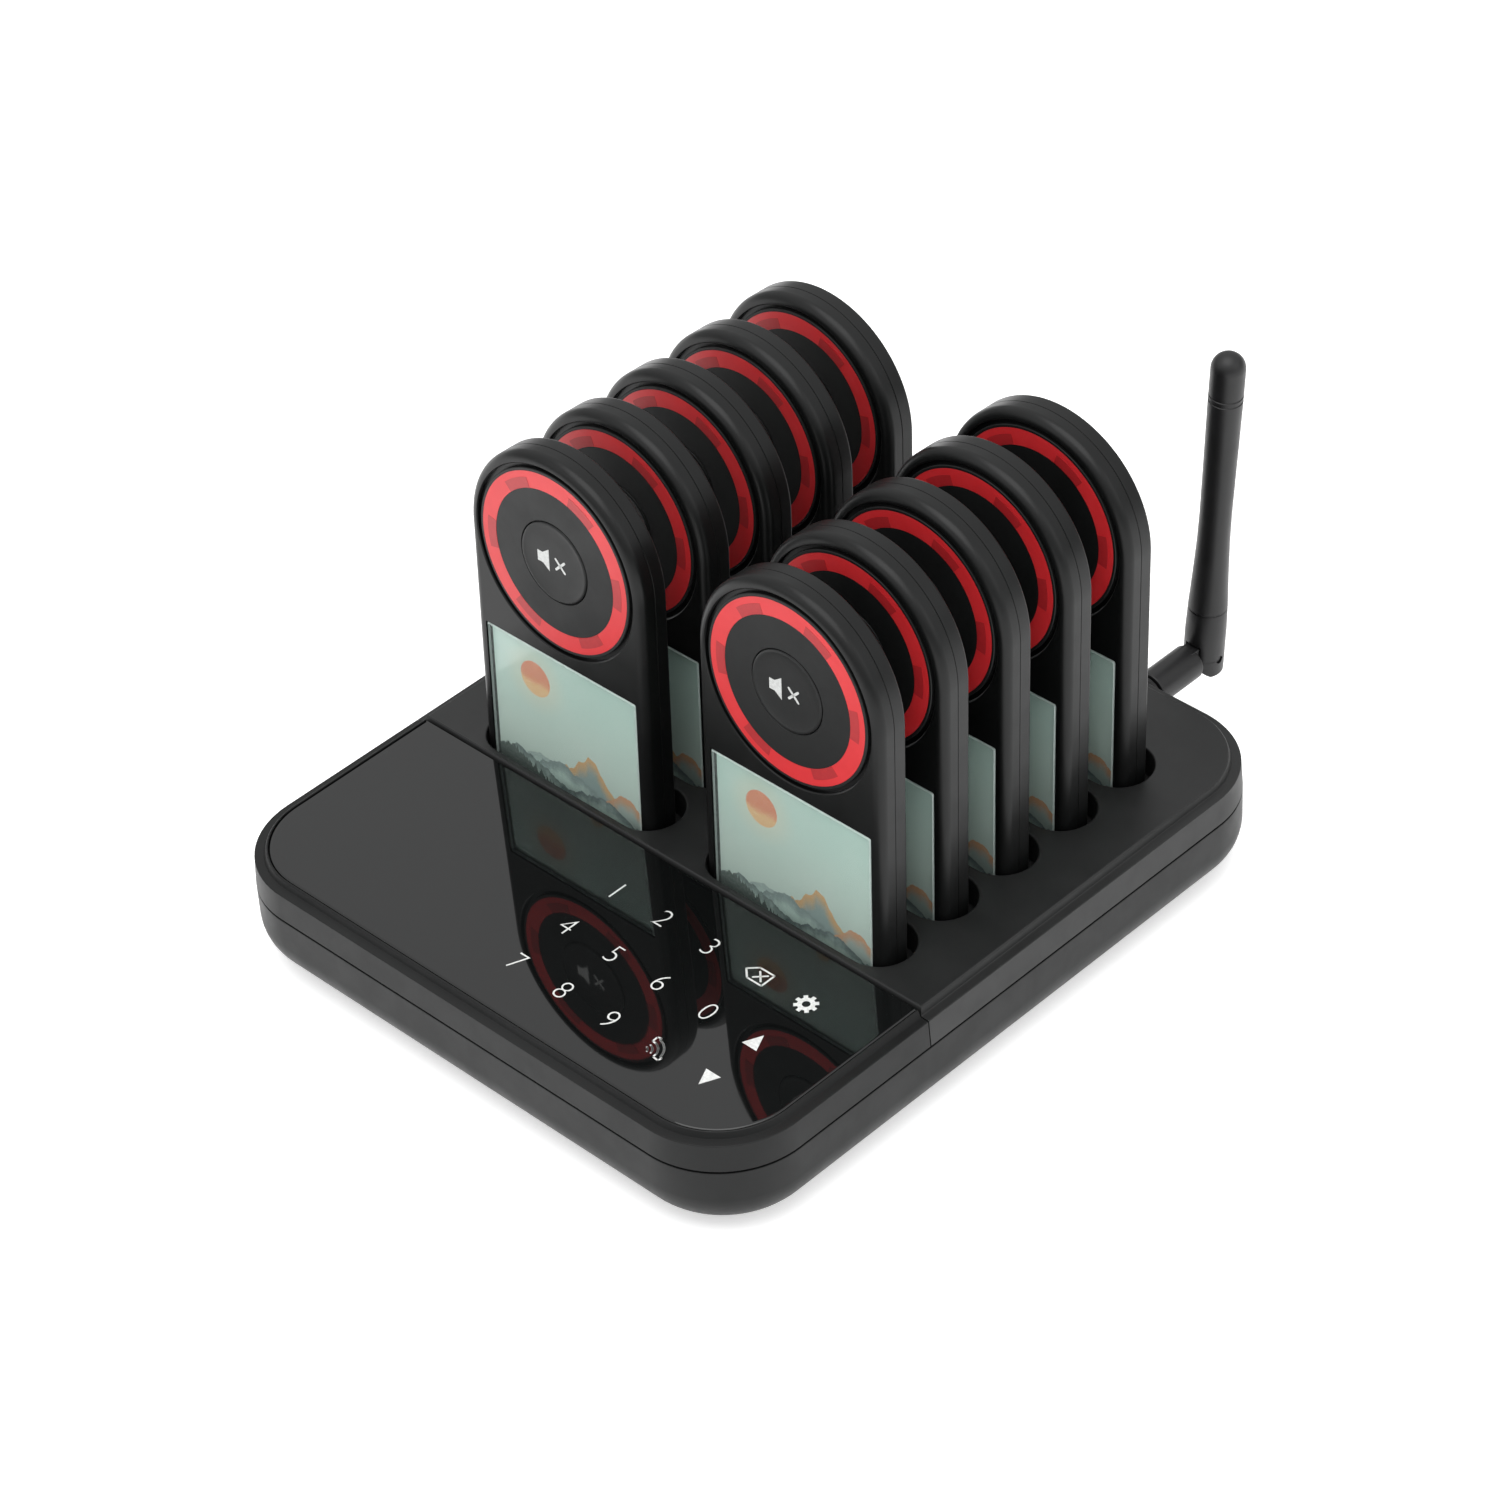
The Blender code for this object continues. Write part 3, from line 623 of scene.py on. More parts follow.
def repeated(name, shape, points, sizes, material):
    """Puts a shape on every point of a Geometry Nodes tree and returns the result as a plain mesh."""
    group = bpy.data.node_groups.new(name, "GeometryNodeTree")
    face = group.interface
    face.new_socket("Shape", in_out="INPUT", socket_type="NodeSocketObject")
    for label, value in sizes.items():
        kind = "NodeSocketInt" if isinstance(value, int) else "NodeSocketFloat"
        face.new_socket(label, in_out="INPUT", socket_type=kind)
    face.new_socket("Geometry", in_out="OUTPUT", socket_type="NodeSocketGeometry")
    tree = Tree(group)
    given = group.nodes.new("NodeGroupInput").outputs
    source = tree.node("GeometryNodeObjectInfo", {"Object": given["Shape"]}, "Geometry")
    put = tree.node("GeometryNodeInstanceOnPoints", {**points(tree, given), "Instance": source})
    real = tree.node("GeometryNodeRealizeInstances", {0: put})
    coat = tree.node("GeometryNodeSetMaterial", {"Geometry": real, "Material": material})
    tree.wire(coat, group.nodes.new("NodeGroupOutput").inputs[0])

    host = placed(name, bpy.data.meshes.new(name))
    modifier = host.modifiers.new("Repeat", "NODES")
    modifier.node_group = group
    sockets = {item.name: item.identifier for item in face.items_tree if item.in_out == "INPUT"}
    modifier[sockets["Shape"]] = shape
    for label, value in sizes.items():
        modifier[sockets[label]] = value
    baked(host)
    forget(shape)
    return host


# ---- naming and placing


def settle(piece, name, body, replaces=()):
    """Names a piece, hangs it on its body and hides the frame parts it replaces."""
    piece.name = name
    piece.data.name = name
    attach(piece, body)
    if replaces:
        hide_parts(*replaces)
    return piece


def on_base(piece):
    return moved(piece, shift(BASE_MIDDLE))


# ---- base


def round_off(start, end, centre, steps=6):
    """(inset, height) points on a quarter turn between two points about a centre."""
    sx, sz = start[0] - centre[0], start[1] - centre[1]
    ex, ez = end[0] - centre[0], end[1] - centre[1]
    points = []
    for i in range(steps + 1):
        a = math.pi / 2 * i / steps
        points.append((centre[0] + sx * math.cos(a) + ex * math.sin(a),
                       centre[1] + sz * math.cos(a) + ez * math.sin(a)))
    return points


FOOT_SEAT_Z = 2.3 * MM
SCREW_SPOTS = in_mm((-58, -77.5), (58, -77.5), (0, -30), (0, 78))
SCREW_WELL_RADIUS = 3.1 * MM
SCREW_WELL_Z = 2.9 * MM


def make_lower_shell():
    low, top = SHELL_LOW.z, SHELL_HIGH.z
    lip = 0.25 * MM
    side = low + BOTTOM_ROUND
    profile = round_off((BOTTOM_ROUND, low), (0, side), (BOTTOM_ROUND, side), 12)
    profile.insert(0, (BOTTOM_ROUND + 1 * MM, low))
    profile += [(0, top - lip), (lip * 0.3, top - lip * 0.3), (lip, top), (WALL, top)]
    profile += [(WALL, side), (BOTTOM_ROUND, low + WALL)]
    shell = stacked("lower", [at_height(whole_outline(inset), z) for inset, z in profile])
    holes = []
    for number in range(1, 5):
        spot = middle_of(f"foot_{number}") - BASE_MIDDLE
        foot_radius = size_of(f"foot_{number}").x / 2 + 0.3 * MM
        holes.append(moved(rod(foot_radius, 0, FOOT_SEAT_Z, 48), shift((spot.x, spot.y, 0))))
    for x, y in SCREW_SPOTS:
        holes.append(moved(rod(SCREW_WELL_RADIUS, 0, SCREW_WELL_Z), shift((x, y, 0))))
    cut(shell, together("holes", holes))
    jack_low, jack_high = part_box("dc_power_socket")
    jack = (jack_low + jack_high) / 2 - BASE_MIDDLE
    reach, half_x, half_z = 8 * MM, 4.8 * MM, 5.1 * MM
    cut(shell, bar(jack.x - half_x, jack.x + half_x, HALF_LENGTH - reach, HALF_LENGTH + reach,
                   jack.z - half_z, jack.z + half_z))
    socket = middle_of("antenna_socket") - BASE_MIDDLE
    through = shift((socket.x, HALF_LENGTH, socket.z)) @ Matrix.Rotation(math.pi / 2, 4, "X")
    cut(shell, moved(rod(3.6 * MM, -reach, reach), through))
    painted(smoothed(on_base(shell)), HOUSING)
    settle(shell, "lower_case", "base", ["base_lower_shell"])


def make_screws():
    """Cross-head case screws, seen from below in their wells."""
    profile = in_mm((0, 2.35), (1.0, 2.3), (2.2, 2.42), (2.6, 2.7), (2.6, 3.3), (0, 3.3))
    head = turned("head", profile, 40)
    for turn in (20, 110):
        slot = bar(-1.5 * MM, 1.5 * MM, -0.28 * MM, 0.28 * MM, 2.0 * MM, 2.85 * MM)
        cut(head, moved(slot, Matrix.Rotation(math.radians(turn), 4, "Z")))
    heads = [moved(twin_of(head), shift((x, y, 0))) for x, y in SCREW_SPOTS]
    forget(head)
    screws = painted(smoothed(on_base(together("screws", heads))), STEEL)
    settle(screws, "case_screws", "base")


def shoulder(plateau, top):
    """(inset, height) points up a side wall, over its flat lip and up a steep step to the raised top."""
    wall = SHOULDER_Z - 0.35 * MM
    points = [(SIDE_DRAFT * 0.9, wall)]
    points += round_off((SIDE_DRAFT, wall + 0.05 * MM), (SIDE_DRAFT + 0.3 * MM, SHOULDER_Z - 0.2 * MM),
                        (SIDE_DRAFT + 0.3 * MM, wall + 0.05 * MM), 5)
    foot = plateau - 0.75 * MM
    points += stepped(foot, SHOULDER_Z, (-0.3, -0.12), (0, -0.08), (0.15, 0.05))
    return points + stepped(plateau, top, (-0.2, -0.4), (-0.05, -0.18), (0.06, -0.05), (0.2, 0))


def make_keypad_frame():
    low, top = FRAME_LOW.z, FRAME_HIGH.z
    crest = GLASS_BORDER - 0.45 * MM
    profile = [(0.25 * MM, low), (0, low + 0.25 * MM), *shoulder(crest, top)]
    tray = stacked("tray", [at_height(front_outline(inset, FRAME_REAR), z) for inset, z in profile])
    bed_z = GLASS_LOW.z - 0.3 * MM
    bed = [(GLASS_BORDER, bed_z), (GLASS_BORDER, top - 0.15 * MM),
           (GLASS_BORDER - 0.6 * MM, top + 0.45 * MM)]
    past = FRAME_REAR + 2 * MM
    cut(tray, stacked("bed", [at_height(front_outline(inset, past), z) for inset, z in bed]))
    painted(smoothed(on_base(tray)), HOUSING)
    settle(tray, "keypad_surround", "base", ["keypad_frame"])


def make_keypad_glass():
    low, top = GLASS_LOW.z, GLASS_HIGH.z
    rear = GLASS_HIGH.y - BASE_MIDDLE.y
    edge = GLASS_BORDER + 0.22 * MM
    profile = [(edge, low)]
    profile += stepped(edge, top, (0, -0.3), (0.08, -0.16), (0.28, -0.04), (0.5, 0), (0.8, 0))
    sheet = stacked("glass", [at_height(front_outline(inset, rear), z) for inset, z in profile])
    painted(smoothed(on_base(sheet), 50), GLASS)
    settle(sheet, "touch_glass", "base", ["keypad_glass"])


def well_centres():
    """Where each pager's well opens, in the base's frame, numbered like the pagers."""
    spots = [stance_of(name).to_translation() - BASE_MIDDLE for name in PAGERS]
    return [(spot.x, spot.y + WELL_FROM_BACK) for spot in spots]


def make_dock_cover():
    low, top = FRAME_LOW.z, COVER_HIGH.z
    crest = 3.3 * MM
    walls = shoulder(crest, top)
    sweep = 0.9 * MM
    fronts = [sweep * max(0, z - SHOULDER_Z) ** 2 / (top - SHOULDER_Z) ** 2 for _, z in walls]
    profile = [(0.25 * MM, 0, low), (0, 0, low + 0.25 * MM)]
    profile += [(inset, front, z) for (inset, z), front in zip(walls, fronts)]
    profile += [(crest + 0.4 * MM, 1.2 * MM, top)]
    cover = stacked("cover", [at_height(rear_outline(inset, COVER_FRONT + front), z)
                              for inset, front, z in profile])
    centres = well_centres()
    half_x, half_y = WELL_LENGTH / 2 + 2 * MM, WELL_WIDTH / 2 + 2 * MM
    for column in (centres[:5], centres[5:]):
        x, ys = column[0][0], [y for _, y in column]
        joined(cover, bar(x - half_x, x + half_x, min(ys) - half_y, max(ys) + half_y,
                          COVER_LOW.z, top - 1 * MM))
    mouths, pockets = [], []
    lip = round_off((0, top - 0.55 * MM), (-0.55 * MM, top), (-0.55 * MM, top - 0.55 * MM), 5)
    mouth_depth = 7.3 * MM
    section = [(0, top - mouth_depth), *lip, (-0.8 * MM, top + 1 * MM)]
    for name, (x, y) in zip(PAGERS, centres):
        rings = [at_height(stadium(WELL_LENGTH, WELL_WIDTH, inset), z) for inset, z in section]
        mouths.append(moved(stacked("mouth", rings), shift((x, y, 0))))
        half, gap = PAGER_WIDTH / 2 + 0.45 * MM, 0.45 * MM
        pocket = plate("pocket", rounded_box(-half, half, -gap, 14 * MM, FOOT_CORNER, 0, 8), -gap,
                       PAGER_DEPTH + gap)
        pockets.append(moved(pocket, shift(-BASE_MIDDLE) @ stance_of(name)))
    cut(cover, together("mouths", mouths))
    cut(cover, together("pockets", pockets))
    painted(smoothed(on_base(cover)), DECK)
    settle(cover, "dock_deck", "base", ["dock_cover"])


def make_contact_pins():
    """Two sprung gold pins at the bottom of each well."""
    pin = turned("pin", in_mm((0, 0.9), (0.35, 0.82), (0.6, 0.5), (0.6, 0), (0, 0)), 20)
    pair = repeated("contact pins", pin, row_of_points, {"Count": 2, "Spacing": CHARGE_SPACING}, GOLD)
    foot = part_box("charging_board")[1].z - 0.6 * MM
    pins = [moved(twin_of(pair), shift((x, y, foot))) for x, y in well_centres()]
    forget(pair)
    piece = painted(smoothed(on_base(together("pins", pins))), GOLD)
    settle(piece, "contact_pins", "base")


def make_feet():
    for number in range(1, 5):
        node = f"foot_{number}"
        radius, height = size_of(node).x / 2, size_of(node).z
        spot = middle_of(node)
        soft = 0.5 * MM
        profile = [(0, 0.25 * MM), (radius * 0.45, 0.25 * MM), (radius * 0.55, 0), (radius - soft, 0),
                   (radius - soft * 0.3, soft * 0.3), (radius, soft), (radius, height), (0, height)]
        pad = moved(turned("pad", profile, 64), shift((spot.x, spot.y, 0)))
        painted(smoothed(pad), RUBBER)
        settle(pad, f"foot_pad_{number}", "base", [node])


# ---- keypad signs

KEY_ORIGIN = Vector((0, -42.4 * MM, 0))
KEY_PITCH = Vector((14.4 * MM, 15.5 * MM, 0))
KEY_HEIGHT = 5.3 * MM
INK_THICKNESS = 0.03 * MM


def stroke(name, points, width, closed=False):
    """A line of ink with round ends along points, as a flat ribbon with a little thickness."""
    bm = bmesh.new()
    count = len(points)
    for i in range(count if closed else count - 1):
        start, end = Vector(points[i]), Vector(points[(i + 1) % count])
        along = end - start
        if along.length < 1e-9:
            continue
        angle = math.degrees(math.atan2(along.y, along.x))
        outline = arc(end.x, end.y, width / 2, angle - 90, angle + 90, 6)
        outline += arc(start.x, start.y, width / 2, angle + 90, angle + 270, 6)
        low = [bm.verts.new((x, y, 0)) for x, y in outline]
        high = [bm.verts.new((x, y, INK_THICKNESS)) for x, y in outline]
        for k in range(len(low)):
            m = (k + 1) % len(low)
            bm.faces.new((low[k], low[m], high[m], high[k]))
        bm.faces.new(list(reversed(low)))
        bm.faces.new(high)
    return linked(name, bm)


def inked(name, outline):
    """A flat patch of ink on an outline."""
    return stacked(name, [at_height(outline, 0), at_height(outline, INK_THICKNESS)])


def digit(text):
    """A thin upright numeral about its own middle, as a mesh."""
    curve = bpy.data.curves.new("digit", "FONT")
    curve.body = text
    curve.align_x = "CENTER"
    curve.align_y = "CENTER"
    curve.size = KEY_HEIGHT / 0.70
    curve.offset = -0.022 * curve.size
    curve.extrude = INK_THICKNESS / 2
    curve.resolution_u = 10
    letter = placed("digit", curve)
    mesh = evaluated_mesh(letter)
    forget(letter)
    low = Vector([min(v.co[axis] for v in mesh.vertices) for axis in range(3)])
    high = Vector([max(v.co[axis] for v in mesh.vertices) for axis in range(3)])
    mesh.transform(shift(-(low + high) / 2))
    mesh.transform(Matrix.Diagonal((1, KEY_HEIGHT / (high.y - low.y), 1, 1)))
    mesh.transform(shift((0, 0, INK_THICKNESS / 2)))
    return placed("digit", mesh)


def cross(middle, reach, width):
    """The two arms of a small cross."""
    return [stroke("arm", [(middle - reach, -rise * reach), (middle + reach, rise * reach)], width)
            for rise in (-1, 1)]


def erase_sign():
    """A tag that points left, with a small cross in it."""
    tag = in_mm((-3.5, 0), (-1.3, 2.1), (3.0, 2.1), (3.0, -2.1), (-1.3, -2.1))
    lines = [stroke("tag", tag, 0.45 * MM, closed=True)]
    return together("erase", lines + cross(0.75 * MM, 1.15 * MM, 0.45 * MM))


def gear_sign():
    teeth, root, tip = 8, 2.05 * MM, 2.85 * MM
    outline = []
    for tooth in range(teeth):
        middle = 360 * tooth / teeth
        for angle, radius in ((-14, root), (-10, tip), (10, tip), (14, root)):
            a = math.radians(middle + angle)
            outline.append((radius * math.cos(a), radius * math.sin(a)))
    gear = inked("gear", outline)
    return cut(gear, rod(0.95 * MM, -1 * MM, 1 * MM, 32))


def triangle_sign(up):
    half, rise = 2.15 * MM, 2.3 * MM * (1 if up else -1)
    corners = [(-half, -rise), (half, -rise), (0, rise)]
    return inked("triangle", corners if up else corners[::-1])


def handset_sign():
    """A handset seen from its side, with two sound waves at its hollow."""
    centre = (-2.2 * MM, -2.2 * MM)
    outer, inner = 4.5 * MM, 3.2 * MM
    handset = arc(*centre, outer, 8, 82, 14)
    handset += in_mm((-1.6, 2.8), (-2.6, 2.6), (-2.5, 1.0), (-1.4, 0.9))
    handset += arc(*centre, inner, 70, 20, 8)
    handset += in_mm((0.9, -1.4), (1.0, -2.5), (2.6, -2.6), (2.8, -1.6))
    lines = [stroke("handset", handset, 0.42 * MM, closed=True)]
    for radius in (1.0 * MM, 2.0 * MM):
        lines.append(stroke("wave", arc(*centre, radius, 8, 82, 8), 0.4 * MM))
    return together("handset", lines)


def make_keypad_signs():
    rows = (
        ("1", "2", "3", erase_sign, gear_sign),
        ("4", "5", "6", "0", lambda: triangle_sign(True)),
        ("7", "8", "9", handset_sign, lambda: triangle_sign(False)),
    )
    signs = []
    for row, keys in enumerate(rows):
        for column, key in enumerate(keys):
            sign = digit(key) if isinstance(key, str) else key()
            spot = KEY_ORIGIN + Vector((column * KEY_PITCH.x, -row * KEY_PITCH.y, GLASS_HIGH.z))
            signs.append(moved(sign, shift(spot)))
    panel = painted(on_base(together("signs", signs)), KEY_INK)
    settle(panel, "keypad_signs", "base")


# ---- pagers


def stance_of(pager):
    """How a pager stands: its own frame lies on its back, X across, Y up the pager, Z to the face."""
    low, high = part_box(pager + "_rear_shell")
    foot_back = Vector(((low.x + high.x) / 2, high.y - PAGER_LENGTH * math.sin(LEAN), STANDING_Z))
    return shift(foot_back) @ Matrix.Rotation(math.pi / 2 - LEAN, 4, "X")


def on_dial(height=0.0):
    """Moves a shape made about Z to the middle of a pager's ring."""
    return shift((0, RING_Y, height))


def pager_rear():
    top = PARTING - 0.06 * MM
    shelf, inside = 0.7 * MM, 1.6 * MM
    profile = [(BACK_ROUND + 0.6 * MM, 0)]
    profile += round_off((BACK_ROUND, 0), (0, BACK_ROUND), (BACK_ROUND, BACK_ROUND), 5)
    profile += [(0, top - 0.06 * MM), (0.06 * MM, top), (shelf, top), (shelf, top + 1.0 * MM)]
    profile += [(inside, top + 1.0 * MM), (inside, 1.2 * MM)]
    return stacked("rear", [at_height(pager_outline(inset), z) for inset, z in profile])


def pager_front():
    """The front shell with its dial recess, button hole and card recess."""
    low = PARTING + 0.06 * MM
    shelf, inside, ceiling = 0.6 * MM, 1.6 * MM, 5.2 * MM
    side = PAGER_DEPTH - FACE_ROUND
    tongue = low + 0.9 * MM
    profile = [(inside, ceiling), (inside, tongue), (shelf, tongue), (shelf, low), (0.06 * MM, low),
               (0, low + 0.06 * MM)]
    profile += round_off((0, side), (FACE_ROUND, PAGER_DEPTH), (FACE_ROUND, side), 9)
    profile += [(FACE_ROUND + 0.5 * MM, PAGER_DEPTH)]
    shell = stacked("front", [at_height(pager_outline(inset), z) for inset, z in profile])
    over = PAGER_DEPTH + 1 * MM
    lip = 0.25 * MM
    dial = ((0, DIAL_FLOOR), (DIAL_RADIUS, DIAL_FLOOR), (DIAL_RADIUS, PAGER_DEPTH - lip),
            (DIAL_RADIUS + lip, PAGER_DEPTH), (DIAL_RADIUS + lip, over), (0, over))
    cut(shell, moved(turned("dial", dial, 144), on_dial()))
    cut(shell, moved(rod(BUTTON_RADIUS + 0.3 * MM, 0, over, 96), on_dial()))
    half, gap = WINDOW_WIDTH / 2, 0.3 * MM
    recess = rounded_box(-half - gap, half + gap, WINDOW_LOW_Y - gap, WINDOW_HIGH_Y + gap,
                         0.5 * MM, 0.5 * MM, 3)
    cut(shell, stacked("recess", [at_height(recess, WINDOW_FLOOR), at_height(recess, over)]))
    return shell


def pager_dial_plate():
    """The dark disc inside the light ring and the narrow rim round the ring."""
    low, top, soft = DIAL_FLOOR + 0.05 * MM, DIAL_TOP, 0.15 * MM
    hole, seat = BUTTON_RADIUS + 0.14 * MM, RING_INNER - 0.04 * MM
    inner = turned_ring("inner", [(hole, low), (seat, low), (seat, top), (hole + soft, top),
                                  (hole, top - soft)])
    seat, rim = RING_OUTER + 0.04 * MM, RING_OUTER + 0.75 * MM
    outer = turned_ring("outer", [(seat, low), (rim, low), (rim, top - soft), (rim - soft, top),
                                  (seat, top)])
    return moved(together("dial", [inner, outer]), on_dial())


def pager_ring():
    low, top = DIAL_FLOOR + 0.05 * MM, DIAL_TOP
    section = [(RING_INNER, low), (RING_OUTER, low), (RING_OUTER, top), (RING_INNER, top)]
    return moved(turned_ring("ring", section, 144), on_dial())


def pager_lamps():
    """The six lamps that show through the ring."""
    inner, outer = RING_INNER + 0.05 * MM, RING_INNER + 0.62 * (RING_OUTER - RING_INNER)
    middle = (inner + outer) / 2
    outline = arc(0, 0, outer, -9.5, 13.5, 12) + arc(0, 0, inner, 13.5, -9.5, 12)
    patch = inked("patch", [(x - middle, y) for x, y in outline])
    sizes = {"Count": PATCHES, "Radius": middle}
    return moved(repeated("lamp patches", patch, ring_of_points, sizes, PATCH), on_dial(DIAL_TOP))


def pager_button():
    """The mute button: a shallow dome with a soft raised edge."""
    top, flange = BUTTON_TOP, 4.9 * MM
    edge = BUTTON_RADIUS
    profile = [*stepped(0, flange, (0, -0.7), (11.6, -0.7), (11.6, 0)), (edge, flange)]
    profile += stepped(edge, top, (0, -0.3), (-0.12, -0.1), (-0.4, 0), (-0.8, -0.04), (-1.6, -0.16))
    profile += [(edge * 0.6, top - 0.2 * MM), (edge * 0.3, top - 0.17 * MM), (0, top - 0.16 * MM)]
    return moved(turned("button", profile, 120), on_dial())


def mute_sign():
    """A small loudspeaker and a cross."""
    speaker = in_mm((-5.2, -1.4), (-3.6, -1.4), (-1.6, -2.9), (-1.6, 2.9), (-3.6, 1.4), (-5.2, 1.4))
    shapes = [inked("speaker", speaker)] + cross(1.9 * MM, 1.35 * MM, 0.62 * MM)
    return moved(together("mute", shapes), on_dial(BUTTON_TOP - 0.17 * MM))


def pager_card():
    """The printed card, with its own flat map for the print."""
    inset = 0.8 * MM
    half = WINDOW_WIDTH / 2 - inset
    y0, y1 = WINDOW_LOW_Y + inset, WINDOW_HIGH_Y - inset
    low = WINDOW_FLOOR + 0.02 * MM
    card = bar(-half, half, y0, y1, low, low + 0.25 * MM)
    layer = card.data.uv_layers.new(name="card")
    for loop in card.data.loops:
        point = card.data.vertices[loop.vertex_index].co
        layer.data[loop.index].uv = ((point.x + half) / (2 * half), (point.y - y0) / (y1 - y0))
    return card


def pager_window():
    """A clear acrylic plate over the card; its bevelled edges have a material of their own, a pale painted
    highlight.
    """
    half = WINDOW_WIDTH / 2
    soft = 0.3 * MM
    low, top = WINDOW_FLOOR + 0.3 * MM, WINDOW_TOP
    rings = []
    for inset, z in ((0, low), (0, top - soft), (soft, top)):
        outline = rounded_box(-half + inset, half - inset, WINDOW_LOW_Y + inset, WINDOW_HIGH_Y - inset,
                              0.4 * MM, 0.4 * MM, 3)
        rings.append(at_height(outline, z))
    window = painted(stacked("window", rings), WINDOW, WINDOW_EDGE_HIGHLIGHT)
    # Faces that do not point out of the window get the painted edge highlight.
    for face in window.data.polygons:
        face.material_index = 0 if abs(face.normal.z) > 0.95 else 1
    return window


def pager_pads():
    """Two gold charging pads on the foot."""
    pad = plate("pad", stadium(3.4 * MM, 1.6 * MM, steps=8), 0, 0.05 * MM)
    pads = repeated("charging pads", pad, row_of_points, {"Count": 2, "Spacing": CHARGE_SPACING}, GOLD)
    turn = shift((0, 0, 5.4 * MM)) @ Matrix.Rotation(math.pi / 2, 4, "X")
    return moved(pads, turn)


def make_pagers():
    """Ten pagers from one set of finished meshes."""
    kinds = (
        ("case_front", painted(smoothed(pager_front()), PAGER_CASE), "pager_black", "front_shell"),
        ("case_rear", painted(smoothed(pager_rear()), PAGER_CASE), "pager_black", "rear_shell"),
        ("dial_plate", painted(smoothed(pager_dial_plate()), DIAL), "button_black", None),
        ("glow_ring", painted(smoothed(pager_ring()), GLOW), "ring_red", "light_ring"),
        ("lamp_patches", painted(pager_lamps(), PATCH), None, None),
        ("button_cap", painted(smoothed(pager_button(), 60), BUTTON), "button_black", "mute_button"),
        ("mute_sign", painted(mute_sign(), MUTE_INK), None, None),
        ("card", painted(pager_card(), CARD), None, None),
        ("window", smoothed(pager_window()), "card_window", "card_window"),
        ("charging_pads", painted(pager_pads(), GOLD), "plated_metal", None),
    )
    for pager in PAGERS:
        stance = stance_of(pager)
        for name, master, slot, node in kinds:
            body = pager + "_button" if name in ("button_cap", "mute_sign") else pager
            stands_for = [f"{pager}_{node}"] if node and f"{pager}_{node}" in frame["nodes"] else []
            piece = moved(twin_of(master), stance)
            settle(piece, f"{pager}_{name}", body, stands_for)
    for _, master, _, _ in kinds:
        forget(master)


# ---- antenna

PIN = middle_of("antenna_hinge_pin")
FOLD_AXIS = axis_of("antenna_fold")
ANTENNA_STANCE = shift(PIN) @ Matrix.Rotation(math.atan2(-FOLD_AXIS.z, FOLD_AXIS.x), 4, "Y")
WHIP_LENGTH = 88.7 * MM
WHIP_BASE_RADIUS = 4.9 * MM
ELBOW_RADIUS = 4.4 * MM
PIN_RADIUS = 1.0 * MM
TONGUE_REACH = 4.2 * MM
ALONG_Y = Matrix.Rotation(-math.pi / 2, 4, "X")
ALONG_X = Matrix.Rotation(math.pi / 2, 4, "Y")


def make_collar():
    """The screwed nut, with fine straight knurling."""
    low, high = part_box("antenna_collar")
    radius, length = (high.x - low.x) / 2, high.y - low.y
    core, soft = radius - 0.28 * MM, 0.5 * MM
    profile = [(3.2 * MM, 0), (core - soft, 0), (core, soft), (core, length - soft),
               (core - soft, length), (3.2 * MM, length)]
    nut = turned_ring("nut", profile, 96)
    end = soft + 0.7 * MM
    section = in_mm((-0.3, -0.24, 0), (0.28, -0.06, 0.2), (0.28, 0.06, 0.2), (-0.3, 0.24, 0))
    rib = stacked("rib", [[(x, y, end + slope) for x, y, slope in section],
                          [(x, y, length - end - slope) for x, y, slope in section]])
    ribs = repeated("knurl ribs", rib, ring_of_points, {"Count": 44, "Radius": core}, ANTENNA)
    collar = together("collar", [nut, ribs])
    place = shift(((low.x + high.x) / 2, low.y, (low.z + high.z) / 2))
    piece = painted(smoothed(moved(collar, place @ ALONG_Y)), ANTENNA)
    settle(piece, "knurled_collar", "base", ["antenna_collar"])


def make_elbow():
    low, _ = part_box("antenna_elbow")
    collar_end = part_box("antenna_collar")[1].y
    start, shoulder = collar_end + 0.3 * MM - PIN.y, -(WHIP_BASE_RADIUS + 0.3 * MM)
    soft, neck = 0.6 * MM, 2.6 * MM
    profile = [(0, low.y - PIN.y), (neck, low.y - PIN.y), (neck, start), (ELBOW_RADIUS - soft, start),
               (ELBOW_RADIUS - soft * 0.3, start + soft * 0.3), (ELBOW_RADIUS, start + soft),
               (ELBOW_RADIUS, shoulder - soft), (ELBOW_RADIUS - soft * 0.3, shoulder - soft * 0.3),
               (ELBOW_RADIUS - soft, shoulder), (0, shoulder)]
    elbow = moved(turned("elbow", profile, 96), ALONG_Y)
    half, reach = 1.9 * MM, TONGUE_REACH
    outline = arc(0, 0, reach, -90, 90, 24) + [(shoulder - 2 * MM, reach), (shoulder - 2 * MM, -reach)]
    tongue = plate("tongue", outline, -half, half, lip=0.3 * MM)
    upright = Matrix(((0, 0, 1, 0), (1, 0, 0, 0), (0, 1, 0, 0), (0, 0, 0, 1)))
    joined(elbow, moved(tongue, upright))
    bore = PIN_RADIUS + 0.08 * MM
    cut(elbow, moved(rod(bore, -6 * MM, 6 * MM, 32), ALONG_X))
    piece = painted(smoothed(moved(elbow, ANTENNA_STANCE)), ANTENNA)
    settle(piece, "swivel_elbow", "antenna_elbow", ["antenna_elbow"])


